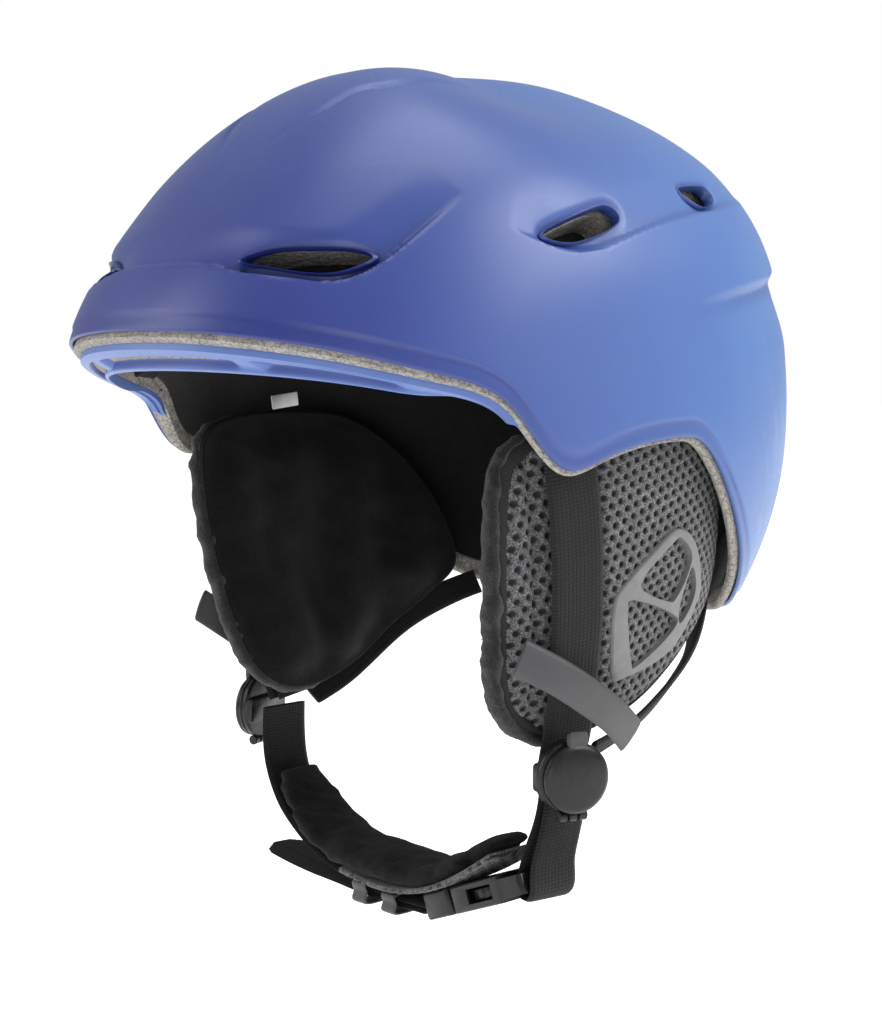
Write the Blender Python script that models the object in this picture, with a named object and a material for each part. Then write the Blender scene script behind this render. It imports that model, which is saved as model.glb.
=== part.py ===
"""Ski helmet with ear pads, a dial fit system and a buckled chin strap.

The frame is the wearer's: the origin is where the crown of the head touches the crown pad, +Z is up,
-Y is forward and +X is the wearer's left. Lengths in the functions are millimetres; the mesh builders
turn them into metres. Left-hand pieces are modelled, and right-hand ones are their mirror images.
"""

import math

import bmesh
import bpy
import numpy as np
from mathutils import Matrix, Vector

MM = 0.001
GAP = 0.4
NO_POINT = (0.0, 0.0, 0.0)

# Dome: distance of the shell from the centre of the dome, by angle down from the pole.
DOME_CENTRE = np.array((0.0, 0.0, -60.0))
# Exponent of the rounded-square plan: a plain ellipse at the pole, squarer by this angle down.
DOME_SQUARENESS = (2.0, 2.3)
SQUARE_FROM = 60.0
PROFILE_ANGLES = (0, 25, 50, 70, 90, 110, 130, 150)
SHELL_FRONT = (95, 101, 104, 112, 129, 134.5, 138, 140)
SHELL_SIDE = (95, 91, 99.5, 102, 100.5, 108.5, 120.5, 134.5)
SHELL_REAR = (95, 104, 115, 130, 137.5, 141, 141, 143.5)
LINER_FRONT = (27, 26, 23, 21, 19, 18, 17, 16)
LINER_SIDE = (27, 24, 20, 16, 11, 5.5, 5, 5)
LINER_REAR = (27, 27, 27, 27, 24, 13, 6, 6)
SHELL_THICKNESS = 1.6
LINER_INSET = 3.3
COLUMN_STEP = 6.0
DOME_ROWS = 11
LINER_BELOW_RIM = 1.3
LINER_BROW_DROP = 3.6

# Rim of the shell on the left: (direction from straight ahead round to straight back, angle down).
RIM = (
    (-90, 86.3), (-70, 87.3), (-54, 89.8), (-43, 92.4), (-36, 94.5), (-31, 98), (-27, 103),
    (-22.5, 107), (-15, 106.6), (6, 103.6), (11, 104), (16, 107), (21, 111.5), (28, 117.5),
    (37, 123.7), (46, 128.3), (60, 130.5), (90, 131.5),
)  # fmt: skip
TEMPLE_END = -29.5

# Vent outlines on the left half, in the same two angles as the rim.
VENTS = {
    "front": ((-73, 76.7), (-68.5, 75), (-61.5, 74.7), (-55, 75), (-52.5, 76.3), (-56.5, 78.4), (-61, 78.8),
              (-68, 77.8)),
    "side": ((-24.5, 70.1), (-9.8, 63.8), (-6.6, 66.7), (-18.5, 71.4)),
    "rear": ((18.3, 59), (30, 59), (30.5, 62), (23, 62.9)),
}  # fmt: skip
VENT_DEPTHS = (0.5, 1.2)

# Ear pad: outline in (y, z), and the line that it hinges on.
EAR_TOP_Z = -85.0
EAR_BOTTOM_Z = -185.0
EAR_BULGE = ((-60, 73), (-50, 80), (-35, 86), (-20, 90), (0, 93), (20, 93.8), (40, 91), (60, 82.5), (80, 71))
EAR_LEAN = 22.0
EAR_MIDDLE = (4.0, -132.0)
EAR_OUTLINE = (
    (-49, -90), (-51, -112), (-46, -140), (-42, -160), (-34, -174), (-18, -182.5), (2, -183),
    (22, -177), (40, -166), (58, -154), (70, -141), (66, -118), (52, -96), (32, -83), (4, -80),
    (-30, -82),
)  # fmt: skip
EAR_FOAM = 11.0
EAR_LINING = 6.0
EAR_HINGE = (84.0, -82.0)

# Webbing and the divider under each ear.
WEBBING_WIDTH = 20.0
WEBBING_THICKNESS = 1.8
DIVIDER_FACE = np.array((85.0, -18.0, -192.0))
DIVIDER_TOE_OUT = math.radians(70)
DIVIDER_RADIUS = 11.2
CHIN_AXIS = (-18.5, -192.0)

# Buckle: bar end of the socket, and the direction in which the plug pulls out of it.
BUCKLE_BAR = np.array((70.0, -19.0, -226.0))
BUCKLE_TILT = math.radians(21.7)
BUCKLE_WIDTH = 26.0
BUCKLE_THICKNESS = 9.0
SOCKET_LENGTH = 31.0
BUCKLE_LENGTH = 46.0
PRONG_ROOT = (-37.5, 8.6)

# Fit system at the nape.
DIAL_CENTRE = (0.0, 96.5, -167.0)
PINION_RADIUS = 5.0
PINION_TEETH = 10
RACK_SPAN = (-12.0, 34.0)

# Goggle strap clip on the back of the shell.
CLIP_Z = (-112.0, -84.0)
CLIP_BASE_Y = 136.9


# ---------------------------------------------------------------- curves and surfaces


def natural_curve(xs, ys, flat_start=False, flat_end=False):
    """A smooth curve through the points (xs, ys), as a function of x; a flat end has no slope there."""
    xs, ys = np.asarray(xs, float), np.asarray(ys, float)
    count, steps = len(xs), np.diff(xs)
    matrix, right = np.zeros((count, count)), np.zeros(count)
    for i in range(1, count - 1):
        matrix[i, i - 1 : i + 2] = steps[i - 1], 2 * (steps[i - 1] + steps[i]), steps[i]
        right[i] = 6 * ((ys[i + 1] - ys[i]) / steps[i] - (ys[i] - ys[i - 1]) / steps[i - 1])
    matrix[0, 0] = matrix[-1, -1] = 1
    if flat_start:
        matrix[0, :2] = (2 * steps[0], steps[0])
        right[0] = 6 * (ys[1] - ys[0]) / steps[0]
    if flat_end:
        matrix[-1, -2:] = (steps[-1], 2 * steps[-1])
        right[-1] = -6 * (ys[-1] - ys[-2]) / steps[-1]
    bend = np.linalg.solve(matrix, right)

    def value(x):
        x = np.clip(np.asarray(x, float), xs[0], xs[-1])
        i = np.clip(np.searchsorted(xs, x) - 1, 0, count - 2)
        h, left, after = steps[i], x - xs[i], xs[i + 1] - x
        straight = (ys[i] * after + ys[i + 1] * left) / h
        return straight + (bend[i] * after * (after**2 - h**2) + bend[i + 1] * left * (left**2 - h**2)) / (6 * h)

    return value


OUTER_PROFILES = [
    natural_curve(PROFILE_ANGLES, radii, flat_start=True) for radii in (SHELL_FRONT, SHELL_SIDE, SHELL_REAR)
]
INNER_PROFILES = [
    natural_curve(PROFILE_ANGLES, np.subtract(radii, thicknesses), flat_start=True)
    for radii, thicknesses in ((SHELL_FRONT, LINER_FRONT), (SHELL_SIDE, LINER_SIDE), (SHELL_REAR, LINER_REAR))
]
EAR_CURVE = natural_curve([y for y, _ in EAR_BULGE], [x for _, x in EAR_BULGE])
RIM_CURVE = natural_curve([a for a, _ in RIM], [b for _, b in RIM], flat_start=True, flat_end=True)


def dome_point(profiles, round_angle, down_angle, inset=0.0):
    """A point on a dome; angles in degrees, round_angle from +X towards +Y."""
    around, down = np.radians(round_angle), np.radians(down_angle)
    front, side, rear = (profile(down_angle) for profile in profiles)
    lengthwise = np.where(np.sin(around) < 0, front, rear)
    n = DOME_SQUARENESS[0] + (DOME_SQUARENESS[1] - DOME_SQUARENESS[0]) * np.clip(down_angle / SQUARE_FROM, 0, 1)
    radius = ((np.abs(np.cos(around)) / side) ** n + (np.abs(np.sin(around)) / lengthwise) ** n) ** (-1 / n) - inset
    direction = np.array((np.sin(down) * np.cos(around), np.sin(down) * np.sin(around), np.cos(down)))
    return DOME_CENTRE + radius * direction


def rim_angle(round_angle):
    around = np.radians(round_angle)
    return RIM_CURVE(np.degrees(np.arctan2(np.sin(around), np.abs(np.cos(around)))))


def frontness(round_angle):
    """1 straight ahead, falling to 0 at the sides and behind."""
    return max(0.0, -math.sin(math.radians(round_angle))) ** 2


def liner_inner_drop(round_angle):
    """How far below the shell's rim the inner edge of the liner is, in degrees."""
    return LINER_BELOW_RIM + LINER_BROW_DROP * frontness(round_angle)


def liner_rim(round_angle):
    """The outer and the inner lower edge of the foam liner."""
    rim = rim_angle(round_angle)
    return (
        dome_point(OUTER_PROFILES, round_angle, rim + LINER_BELOW_RIM, LINER_INSET),
        dome_point(INNER_PROFILES, round_angle, rim + liner_inner_drop(round_angle)),
    )


def smooth_path(points, count):
    """Points at even steps along a smooth curve through the given ones."""
    points = np.array(points, float)
    along = np.concatenate([[0], np.cumsum(np.linalg.norm(np.diff(points, axis=0), axis=1))])
    curves = [natural_curve(along, points[:, k]) for k in range(points.shape[1])]
    stations = np.linspace(0, along[-1], count)
    return np.stack([curve(stations) for curve in curves], axis=1)


def rounded_loop(points, per_side):
    """A closed Catmull-Rom curve through the points."""
    points = np.array(points, float)
    out = []
    for i in range(len(points)):
        a, b, c, d = (points[(i + k) % len(points)] for k in (-1, 0, 1, 2))
        for t in np.linspace(0, 1, per_side, endpoint=False):
            out.append(0.5 * (2 * b + (c - a) * t + (2 * a - 5 * b + 4 * c - d) * t**2 + (3 * b - a - 3 * c + d) * t**3))
    return np.array(out)


# ---------------------------------------------------------------- mesh builders


def add_object(name, points, faces, material, pivot=NO_POINT):
    """A mesh object from points in millimetres, with its origin at the pivot."""
    mesh = bpy.data.meshes.new(name)
    mesh.from_pydata([Vector(p) * MM - Vector(pivot) * MM for p in np.asarray(points, float)], [], faces)
    work = bmesh.new()
    work.from_mesh(mesh)
    bmesh.ops.recalc_face_normals(work, faces=work.faces)
    work.to_mesh(mesh)
    work.free()
    mesh.materials.append(material)
    mesh.shade_smooth()
    mesh.set_sharp_from_angle(angle=math.radians(35))
    obj = bpy.data.objects.new(name, mesh)
    obj.location = Vector(pivot) * MM
    bpy.context.scene.collection.objects.link(obj)
    return obj


def solid_between(name, outer, inner, material, closed_round=False, pole=False, pivot=NO_POINT):
    """A closed solid between two grids of points, rows by columns. With a pole, the first row is one point."""
    rows, columns = outer.shape[:2]
    outer, inner = outer.reshape(-1, 3), inner.reshape(-1, 3)
    half = rows * columns

    def at(side, row, column):
        column %= columns
        return side * half + row * columns + (0 if pole and row == 0 else column)

    faces = []
    spans = columns if closed_round else columns - 1
    for side in (0, 1):
        for row in range(rows - 1):
            for column in range(spans):
                ring = [
                    at(side, row, column),
                    at(side, row, column + 1),
                    at(side, row + 1, column + 1),
                    at(side, row + 1, column),
                ]
                ring = list(dict.fromkeys(ring))
                faces.append(ring if side == 0 else ring[::-1])
    end_rows = [rows - 1] if pole else [0, rows - 1]
    for row in end_rows:
        for column in range(spans):
            a, b = (row, column), (row, column + 1)
            faces.append([at(0, *a), at(0, *b), at(1, *b), at(1, *a)])
    if not closed_round:
        for column in (0, columns - 1):
            for row in range(rows - 1):
                a, b = (row, column), (row + 1, column)
                faces.append([at(0, *a), at(0, *b), at(1, *b), at(1, *a)])
    points = np.concatenate([outer, inner])
    used = sorted({i for face in faces for i in face})
    renumbered = {old: new for new, old in enumerate(used)}
    faces = [[renumbered[i] for i in face] for face in faces]
    return add_object(name, points[used], faces, material, pivot)


def dome_patch(name, round_angles, heights, profiles, insets, material, extra=lambda a: 0.0):
    """A pad on the inside of the liner: heights(round_angle) gives the angle down of each row."""
    grids = []
    for inset in insets:
        rows = zip(*[[dome_point(profiles, a, h, inset + extra(a)) for h in heights(a)] for a in round_angles])
        grids.append(np.array([list(row) for row in rows]))
    return solid_between(name, grids[0], grids[1], material)


def ribbon(name, path, widths, normals, material, width, thickness, pivot=NO_POINT):
    """A flat strap along a path, with the direction of its width and of its thickness at each point."""
    grids = []
    for side in (0.5, -0.5):
        edges = [path + widths * width * k + normals * thickness * side for k in (-0.5, 0.5)]
        grids.append(np.array(edges))
    return solid_between(name, grids[0], grids[1], material, pivot=pivot)


def strap_frame(path, facing):
    """Width and thickness directions of a strap whose face looks roughly along facing."""
    tangents = np.gradient(path, axis=0)
    tangents /= np.linalg.norm(tangents, axis=1)[:, None]
    widths = np.cross(tangents, np.broadcast_to(facing, path.shape))
    widths /= np.linalg.norm(widths, axis=1)[:, None]
    return widths, np.cross(widths, tangents)


def box(name, low, high, material, place=None, pivot=NO_POINT):
    """A box between two corners, in the frame of the matrix place."""
    corners = [(x, y, z) for x in (low[0], high[0]) for y in (low[1], high[1]) for z in (low[2], high[2])]
    faces = [(0, 1, 3, 2), (4, 6, 7, 5), (0, 4, 5, 1), (2, 3, 7, 6), (0, 2, 6, 4), (1, 5, 7, 3)]
    return add_object(name, [(place or Matrix()) @ Vector(c) for c in corners], faces, material, pivot)


def prism(name, outline, low, high, material, place=None, pivot=NO_POINT):
    """An outline in the local XY plane, extruded from low to high along local Z."""
    count = len(outline)
    points = [(place or Matrix()) @ Vector((x, y, z)) for z in (low, high) for x, y in outline]
    faces = [list(range(count)), list(range(count, 2 * count))]
    faces += [[i, (i + 1) % count, count + (i + 1) % count, count + i] for i in range(count)]
    return add_object(name, points, faces, material, pivot)


def turned(name, profile, material, place, pivot=NO_POINT, sides=28):
    """A solid of revolution about local Z, from (radius, height) points that start and end on the axis."""
    points, rings = [], []
    for radius, height in profile:
        count = 1 if radius == 0 else sides
        rings.append(range(len(points), len(points) + count))
        for k in range(count):
            angle = 2 * math.pi * k / sides
            points.append(place @ Vector((radius * math.cos(angle), radius * math.sin(angle), height)))
    faces = []
    for low, high in zip(rings, rings[1:]):
        for k in range(sides):
            ring = [low[k % len(low)], low[(k + 1) % len(low)], high[(k + 1) % len(high)], high[k % len(high)]]
            faces.append(list(dict.fromkeys(ring)))
    return add_object(name, points, faces, material, pivot)


def circle(radius, count=20, centre=(0.0, 0.0)):
    angles = [2 * math.pi * k / count for k in range(count)]
    return [(centre[0] + radius * math.cos(a), centre[1] + radius * math.sin(a)) for a in angles]


def cut(target, *cutters):
    """Takes the cutters away from the target."""
    combine(target, "DIFFERENCE", cutters)


def join(target, *others):
    """Fuses the other solids into the target."""
    combine(target, "UNION", others)


def combine(target, operation, others):
    for other in others:
        other.hide_render = True
        other.display_type = "WIRE"
        modifier = target.modifiers.new(operation.lower() + "_" + other.name, "BOOLEAN")
        modifier.operation = operation
        modifier.object = other


def mirrored(left, name):
    """The right-hand twin of a left-hand object, mirrored in the plane X = 0."""
    mesh = left.data.copy()
    mesh.name = name
    mesh.transform(Matrix.Scale(-1, 4, Vector((1, 0, 0))))
    mesh.flip_normals()
    right = bpy.data.objects.new(name, mesh)
    right.location = left.location * Vector((-1, 1, 1))
    bpy.context.scene.collection.objects.link(right)
    for source in left.modifiers:
        twin_name = source.object.name.replace("left", "right")
        twin = bpy.data.objects.get(twin_name) or mirrored(source.object, twin_name)
        combine(right, source.operation, [twin])
    return right


def new_material(name, color, roughness, metallic=0.0):
    made = bpy.data.materials.new(name)
    made.use_nodes = True
    shader = made.node_tree.nodes["Principled BSDF"]
    shader.inputs["Base Color"].default_value = (*color, 1.0)
    shader.inputs["Roughness"].default_value = roughness
    shader.inputs["Metallic"].default_value = metallic
    made.diffuse_color = (*color, 1.0)
    return made


# ---------------------------------------------------------------- shell, liner and trim


def dome_rows(round_angles, profiles, inset, below_rim=None):
    """Rows of points from the pole to the shell's rim, and one more row below it where below_rim is given."""
    rows = [
        [dome_point(profiles, a, share * rim_angle(a), inset) for a in round_angles]
        for share in np.linspace(0, 1, DOME_ROWS)
    ]
    if below_rim:
        rows.append([dome_point(profiles, a, rim_angle(a) + below_rim(a), inset) for a in round_angles])
    return np.array(rows)


def add_shell(blue):
    around = np.arange(0, 360, COLUMN_STEP)
    outer = dome_rows(around, OUTER_PROFILES, 0)
    inner = dome_rows(around, OUTER_PROFILES, SHELL_THICKNESS)
    return solid_between("outer_shell", outer, inner, blue, closed_round=True, pole=True)


def add_liner(foam):
    around = np.arange(0, 360, COLUMN_STEP)
    outer = dome_rows(around, OUTER_PROFILES, LINER_INSET, lambda a: LINER_BELOW_RIM)
    inner = dome_rows(around, INNER_PROFILES, 0, liner_inner_drop)
    return solid_between("eps_liner", outer, inner, foam, closed_round=True, pole=True)


def add_vent_cutters(dark):
    cutters = []
    for vent, outline in VENTS.items():
        for side, sign in (("left", 1), ("right", -1)):
            rings = []
            for depth in VENT_DEPTHS:
                for around, down in outline:
                    point = dome_point(OUTER_PROFILES, around, down)
                    rings.append((DOME_CENTRE + depth * (point - DOME_CENTRE)) * (sign, 1, 1))
            count = len(outline)
            faces = [list(range(count)), list(range(count, 2 * count))]
            faces += [[i, (i + 1) % count, count + (i + 1) % count, count + i] for i in range(count)]
            cutters.append(add_object(f"vent_cutter_{vent}_{side}", rings, faces, dark))
    return cutters


def add_brow_trim(blue):
    """The moulded strip under the front edge of the liner, from temple to temple."""
    around = np.linspace(-180 - TEMPLE_END, TEMPLE_END, 41)
    top, bottom = [[], []], [[], []]
    for angle in around:
        outer, inner = liner_rim(angle)
        before, after = liner_rim(angle - 1)[0], liner_rim(angle + 1)[0]
        down = np.cross(after - before, inner - outer)
        down /= np.linalg.norm(down)
        down *= -np.sign(down[2])
        for k, share in enumerate((0.2, 0.97)):
            edge = outer + share * (inner - outer)
            top[k].append(edge + down * 1.3)
            bottom[k].append(edge + down * 3.3)
    return solid_between("brow_trim", np.array(top), np.array(bottom), blue)


# ---------------------------------------------------------------- comfort pads


# How far the two faces of each pad are inside the liner.
PAD_INSETS = (1.6, 9.0)
BROW_PAD_INSETS = (1.3, 8.5)
CROWN_PAD_INSETS = (1.3, 8.0)
NECK_PAD_INSETS = (3.5, 14.0)


def add_pads(plush, white):
    def spread(low, high, count):
        return lambda a: np.linspace(low, high, count)

    inside = INNER_PROFILES
    dome_patch(
        "brow_pad", np.linspace(-146, -34, 23),
        lambda a: np.linspace(78, rim_angle(a) + liner_inner_drop(a) + 1.5, 4),
        inside, BROW_PAD_INSETS, plush,
    )  # fmt: skip
    around = np.arange(0, 360, 18.0)
    crown = [np.array([[dome_point(inside, a, h, i) for a in around] for h in (0, 12, 24)]) for i in CROWN_PAD_INSETS]
    solid_between("crown_pad", crown[0], crown[1], plush, closed_round=True, pole=True)
    dome_patch("side_pad_left", np.linspace(-26, 40, 10), spread(52, 95, 5), inside, PAD_INSETS, plush)
    dome_patch("side_pad_right", np.linspace(140, 206, 10), spread(52, 95, 5), inside, PAD_INSETS, plush)
    dome_patch("rear_pad", np.linspace(60, 120, 9), spread(70, 100, 4), inside, PAD_INSETS, plush)
    dome_patch(
        "neck_pad", np.linspace(56, 124, 19), spread(116, 139.5, 4), inside, NECK_PAD_INSETS, plush,
        lambda a: 12 * math.exp(-(((a - 90) / 20) ** 2)),
    )  # fmt: skip
    box("size_label", (-75.6, -15.0, -79.0), (-75.0, 0.0, -71.5), white)


# ---------------------------------------------------------------- ear pads


def ear_face(y, z):
    """X of the outer face of the left ear pad before its edge is rounded."""
    drop = max(0.0, EAR_TOP_Z - z) / (EAR_TOP_Z - EAR_BOTTOM_Z)
    return float(EAR_CURVE(y)) - EAR_LEAN * drop**1.8


def ear_layer(name, front_depth, thickness, shrink, edge, material, pivot):
    """One layer of the ear pad, from front_depth behind its face; edge is how much of it is left at the outline."""
    outline = rounded_loop(EAR_OUTLINE, 2)
    centre = np.array(EAR_MIDDLE)
    rings = [[], []]
    for share in (0.0, 0.45, 0.8, 0.94, 1.0):
        half = thickness / 2 * (1 - (1 - edge) * share**6)
        ring = centre + (outline - centre) * share * shrink
        middle = [ear_face(y, z) - front_depth - thickness / 2 for y, z in ring]
        for side, sign in ((0, 1), (1, -1)):
            rings[side].append([(x + sign * half, y, z) for x, (y, z) in zip(middle, ring)])
    return solid_between(name, np.array(rings[0]), np.array(rings[1]), material, True, True, pivot)


def add_ear_pads(mesh_fabric, plush, grey):
    pivot = (EAR_HINGE[0], 0.0, EAR_HINGE[1])
    pieces = [
        ear_layer("ear_pad_left", 1.0, EAR_FOAM, 1.0, 0.35, mesh_fabric, pivot),
        ear_layer("ear_lining_left", 1.0 + EAR_FOAM + GAP, EAR_LINING, 0.97, 0.3, plush, pivot),
        add_badge(grey, pivot),
    ]
    for piece in pieces:
        mirrored(piece, piece.name.replace("left", "right"))


def add_badge(grey, pivot):
    """A plain moulded frame on the outside of the pad, with three slots."""
    corners = ((4, -161), (-3, -140), (16, -118), (27, -117), (43, -136), (31, -157))
    outline = rounded_loop(corners, 2)
    centre = outline.mean(axis=0)
    rings = [[], []]
    for share in (0.0, 0.6, 1.0):
        ring = centre + (outline - centre) * share
        for side, lift in ((0, 1.6), (1, -0.55)):
            rings[side].append([(ear_face(y, z) + lift, y, z) for y, z in ring])
    return solid_between("ear_badge_left", np.array(rings[0]), np.array(rings[1]), grey, True, True, pivot)


# ---------------------------------------------------------------- straps and dividers


REAR_STRAP_ROUTE = (
    (71.5, 2, -189.5), (73, 20, -184), (74, 38, -174), (70, 56, -162.5), (61, 70, -154), (56, 77, -151),
)  # fmt: skip
REAR_STRAP_WIDTH = 14.0
KEEPER_ROUTE = ((82, -42, -151), (85.8, -30, -157.5), (87.8, -17, -165.5), (87.8, -5, -173.5), (86, 5.5, -181.5))
PAD_KEEPER_WIDTH = 12.0
PAD_KEEPER_THICKNESS = 1.0


def add_side_straps(webbing, elastic):
    heights = np.linspace(-88.0, -186.0, 12)
    sideways = np.linspace(-29.0, -10.0, 12)
    path = np.stack([[ear_face(y, z) + 1.7 for y, z in zip(sideways, heights)], sideways, heights], axis=1)
    widths, normals = strap_frame(path, (0.98, -0.17, 0.0))
    front = ribbon("front_strap_left", path, widths, normals, webbing, WEBBING_WIDTH, WEBBING_THICKNESS)
    path = smooth_path(REAR_STRAP_ROUTE, 14)
    widths, normals = strap_frame(path, (0.72, 0.25, -0.62))
    rear = ribbon("rear_strap_left", path, widths, normals, webbing, REAR_STRAP_WIDTH, WEBBING_THICKNESS)
    path = smooth_path(KEEPER_ROUTE, 12)
    widths, normals = strap_frame(path, (0.93, -0.3, 0.1))
    keeper = ribbon("pad_keeper_left", path, widths, normals, elastic, PAD_KEEPER_WIDTH, PAD_KEEPER_THICKNESS)
    for piece in (front, rear, keeper):
        mirrored(piece, piece.name.replace("left", "right"))


def divider_place(depth):
    """Local Z points out of the divider's face, and local Y up; the origin is depth behind the face."""
    normal = Vector((math.sin(DIVIDER_TOE_OUT), -math.cos(DIVIDER_TOE_OUT), 0))
    up = Vector((0, 0, 1))
    turn = Matrix((up.cross(normal), up, normal)).transposed().to_4x4()
    return Matrix.Translation(Vector(DIVIDER_FACE) - normal * depth) @ turn


def add_dividers(black):
    base = divider_place(8.0)
    body = turned("divider_body_left", ((0, 0), (10.4, 0), (11.0, 0.6), (11.0, 4.2), (0, 4.2)), black, base)
    block = box("divider_block_left", (-11.0, -4.0, -4.0), (11.0, 4.0, 0.6), black, base)
    knuckle = prism(
        "divider_knuckle_left", ((-4, -14.4), (4, -14.4), (4, -10), (-4, -10)), 0.6, 3.4, black, base
    )  # fmt: skip
    join(body, block, knuckle)
    hinge = divider_place(1.8) @ Vector((0, -DIVIDER_RADIUS - 1.6, 0))
    dome = ((0, 0), (DIVIDER_RADIUS, 0), (DIVIDER_RADIUS, 1.8), (9.0, 2.9), (4.5, 3.4), (0, 3.5))
    cover = turned("divider_cover_left", dome, black, divider_place(3.5), hinge)
    tab = prism(
        "divider_tab_left", ((-3.2, 10), (3.2, 10), (3.2, 14.5), (-3.2, 14.5)), 0.2, 1.8, black, divider_place(3.5)
    )
    join(cover, tab)
    for piece in (body, cover):
        mirrored(piece, piece.name.replace("left", "right"))


# ---------------------------------------------------------------- chin strap and buckle

CHIN_PIVOT = (0.0, CHIN_AXIS[0], CHIN_AXIS[1])
CHIN_ROUTE = (
    (-67.6, -14, -190), (-67.4, -14.3, -199), (-65, -15.5, -208.5), (-58, -17.5, -219), (-46, -19, -229),
    (-30, -20, -236.8), (-12, -20, -241.6), (8, -20, -243.6), (26.4, -19.5, -243.3),
)  # fmt: skip
PAD_ROUTE = (
    (-57, -17.5, -210.5), (-46, -19, -221.3), (-30, -20, -229.1), (-12, -20, -233.8), (8, -20, -235.6),
    (26, -20, -232.8), (42, -19.5, -225.4), (57, -18.5, -215.5),
)  # fmt: skip
TAIL_ROUTE = ((24, -19.5, -246), (2, -20, -245.9), (-20, -20, -244.9), (-42, -20, -243.4), (-62, -20, -240.8))
KEEPERS = {"keeper_band_inner": -3.5, "keeper_band_outer": 11.5}


def strap_up(path):
    """Directions for a strap that lies in a vertical plane across the helmet, with its width fore and aft."""
    tangents = np.gradient(path, axis=0)
    tangents /= np.linalg.norm(tangents, axis=1)[:, None]
    widths = np.tile((0.0, 1.0, 0.0), (len(path), 1))
    normals = np.cross(tangents, widths)
    return widths, normals / np.linalg.norm(normals, axis=1)[:, None]


def add_chin_strap(webbing, plush, elastic):
    chin = smooth_path(CHIN_ROUTE, 22)
    ribbon("chin_webbing_right", chin, *strap_up(chin), webbing, WEBBING_WIDTH, WEBBING_THICKNESS, CHIN_PIVOT)
    path = smooth_path(((67.6, -14, -190), (67.6, -14.5, -203), (68.4, -16.5, -214), (69.2, -18.4, -219.6)), 8)
    ribbon("chin_webbing_left", path, *strap_up(path), webbing, WEBBING_WIDTH, 3.4, CHIN_PIVOT)
    tail = smooth_path(TAIL_ROUTE, 12)
    ribbon("webbing_tail", tail, *strap_up(tail), webbing, WEBBING_WIDTH, WEBBING_THICKNESS, CHIN_PIVOT)
    add_chin_pad(plush)
    for name, x in KEEPERS.items():
        top = np.interp(x, chin[:, 0], chin[:, 2]) + 1.6
        low = np.interp(x, tail[::-1, 0], tail[::-1, 2]) - 1.4
        band = box(name, (x - 3.5, -32.4, low - 0.8), (x + 3.5, -7.6, top + 0.6), elastic, None, CHIN_PIVOT)
        hole = box(name + "_hole", (x - 6, -31.2, low), (x + 6, -8.8, top), elastic)
        cut(band, hole)


def add_chin_pad(plush):
    path = smooth_path(PAD_ROUTE, 18)
    widths, normals = strap_up(path)
    section = [(17.0, 0.0), (15.6, 2.6), (9.0, 4.0), (0.0, 4.4), (-9.0, 4.0), (-15.6, 2.6), (-17.0, 0.0)]
    shares = np.sin(np.linspace(0.28, math.pi - 0.28, len(path))) ** 0.35
    grids = []
    for sign in (1, -1):
        rows = [path + (widths * w + normals * sign * t) * shares[:, None] for w, t in section[1:-1]]
        grids.append(np.array(rows))
    solid_between("chin_pad", grids[0], grids[1], plush, pivot=CHIN_PIVOT)


def buckle_place():
    """Local X runs from the plug to the socket's bar, local Y across, local Z out of the inner face."""
    return Matrix.Translation(BUCKLE_BAR) @ Matrix.Rotation(-BUCKLE_TILT, 4, "Y")


def add_buckle(black):
    place = buckle_place()
    half, thick = BUCKLE_WIDTH / 2, BUCKLE_THICKNESS / 2
    socket = box("buckle_socket", (-SOCKET_LENGTH, -half, -thick), (2.5, half, thick), black, place)
    cavity = box("socket_cavity", (-SOCKET_LENGTH - 1, -11.6, -2.9), (-6.5, 11.6, 2.9), black, place)
    windows = box("socket_windows", (-22.5, -half - 1, -2.4), (-11.0, half + 1, 2.4), black, place)
    slot = box("socket_slot", (-4.2, -10.8, -6), (0.2, 10.8, 6), black, place)
    cut(socket, cavity, windows, slot)
    low = -BUCKLE_LENGTH
    base = box("buckle_plug", (low, -half, -thick), (-SOCKET_LENGTH - GAP, half, thick), black, place, CHIN_PIVOT)
    guide = box("plug_guide", (-SOCKET_LENGTH - 3, -2.2, -1.8), (-15.0, 2.2, 1.8), black, place)
    join(base, guide)
    seats = [
        box(f"plug_seat_{k}", (PRONG_ROOT[0] - 3, sign * PRONG_ROOT[1] - 2.2, -2.3),
            (-SOCKET_LENGTH + 1, sign * PRONG_ROOT[1] + 2.4, 2.3), black, place)
        for k, sign in enumerate((1, -1))
    ]  # fmt: skip
    slot = box("plug_slot", (-44.5, -10.8, -6), (-41.7, 10.8, 6), black, place)
    cut(base, *seats, slot)
    for name, sign in (("prong_rear", 1), ("prong_front", -1)):
        x, y = PRONG_ROOT
        outline = [(x - 2, y - 1.4), (-24, y - 1.4), (-12.5, y - 1.6), (-12.5, y + 1.2), (-16, y + 2.4),
                   (-20.5, y + 2.4), (-24, y + 0.8), (x - 2, y + 1.4)]  # fmt: skip
        outline = [(px, sign * py) for px, py in outline]
        root = place @ Vector((x, sign * y, 0))
        prism(name, outline, -1.9, 1.9, black, place, root)


# ---------------------------------------------------------------- fit system


def pinion_outline():
    """A spur gear: straight-flanked teeth, thinner than their spaces so that the racks run free."""
    points = []
    for tooth in range(PINION_TEETH):
        middle = 2 * math.pi * tooth / PINION_TEETH
        for radius, half in ((3.8, 0.19), (5.0, 0.115), (5.7, 0.06)):
            points.append((radius, middle - half))
        for radius, half in ((5.7, 0.06), (5.0, 0.115), (3.8, 0.19)):
            points.append((radius, middle + half))
    return [(r * math.sin(a), r * math.cos(a)) for r, a in points]


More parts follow.
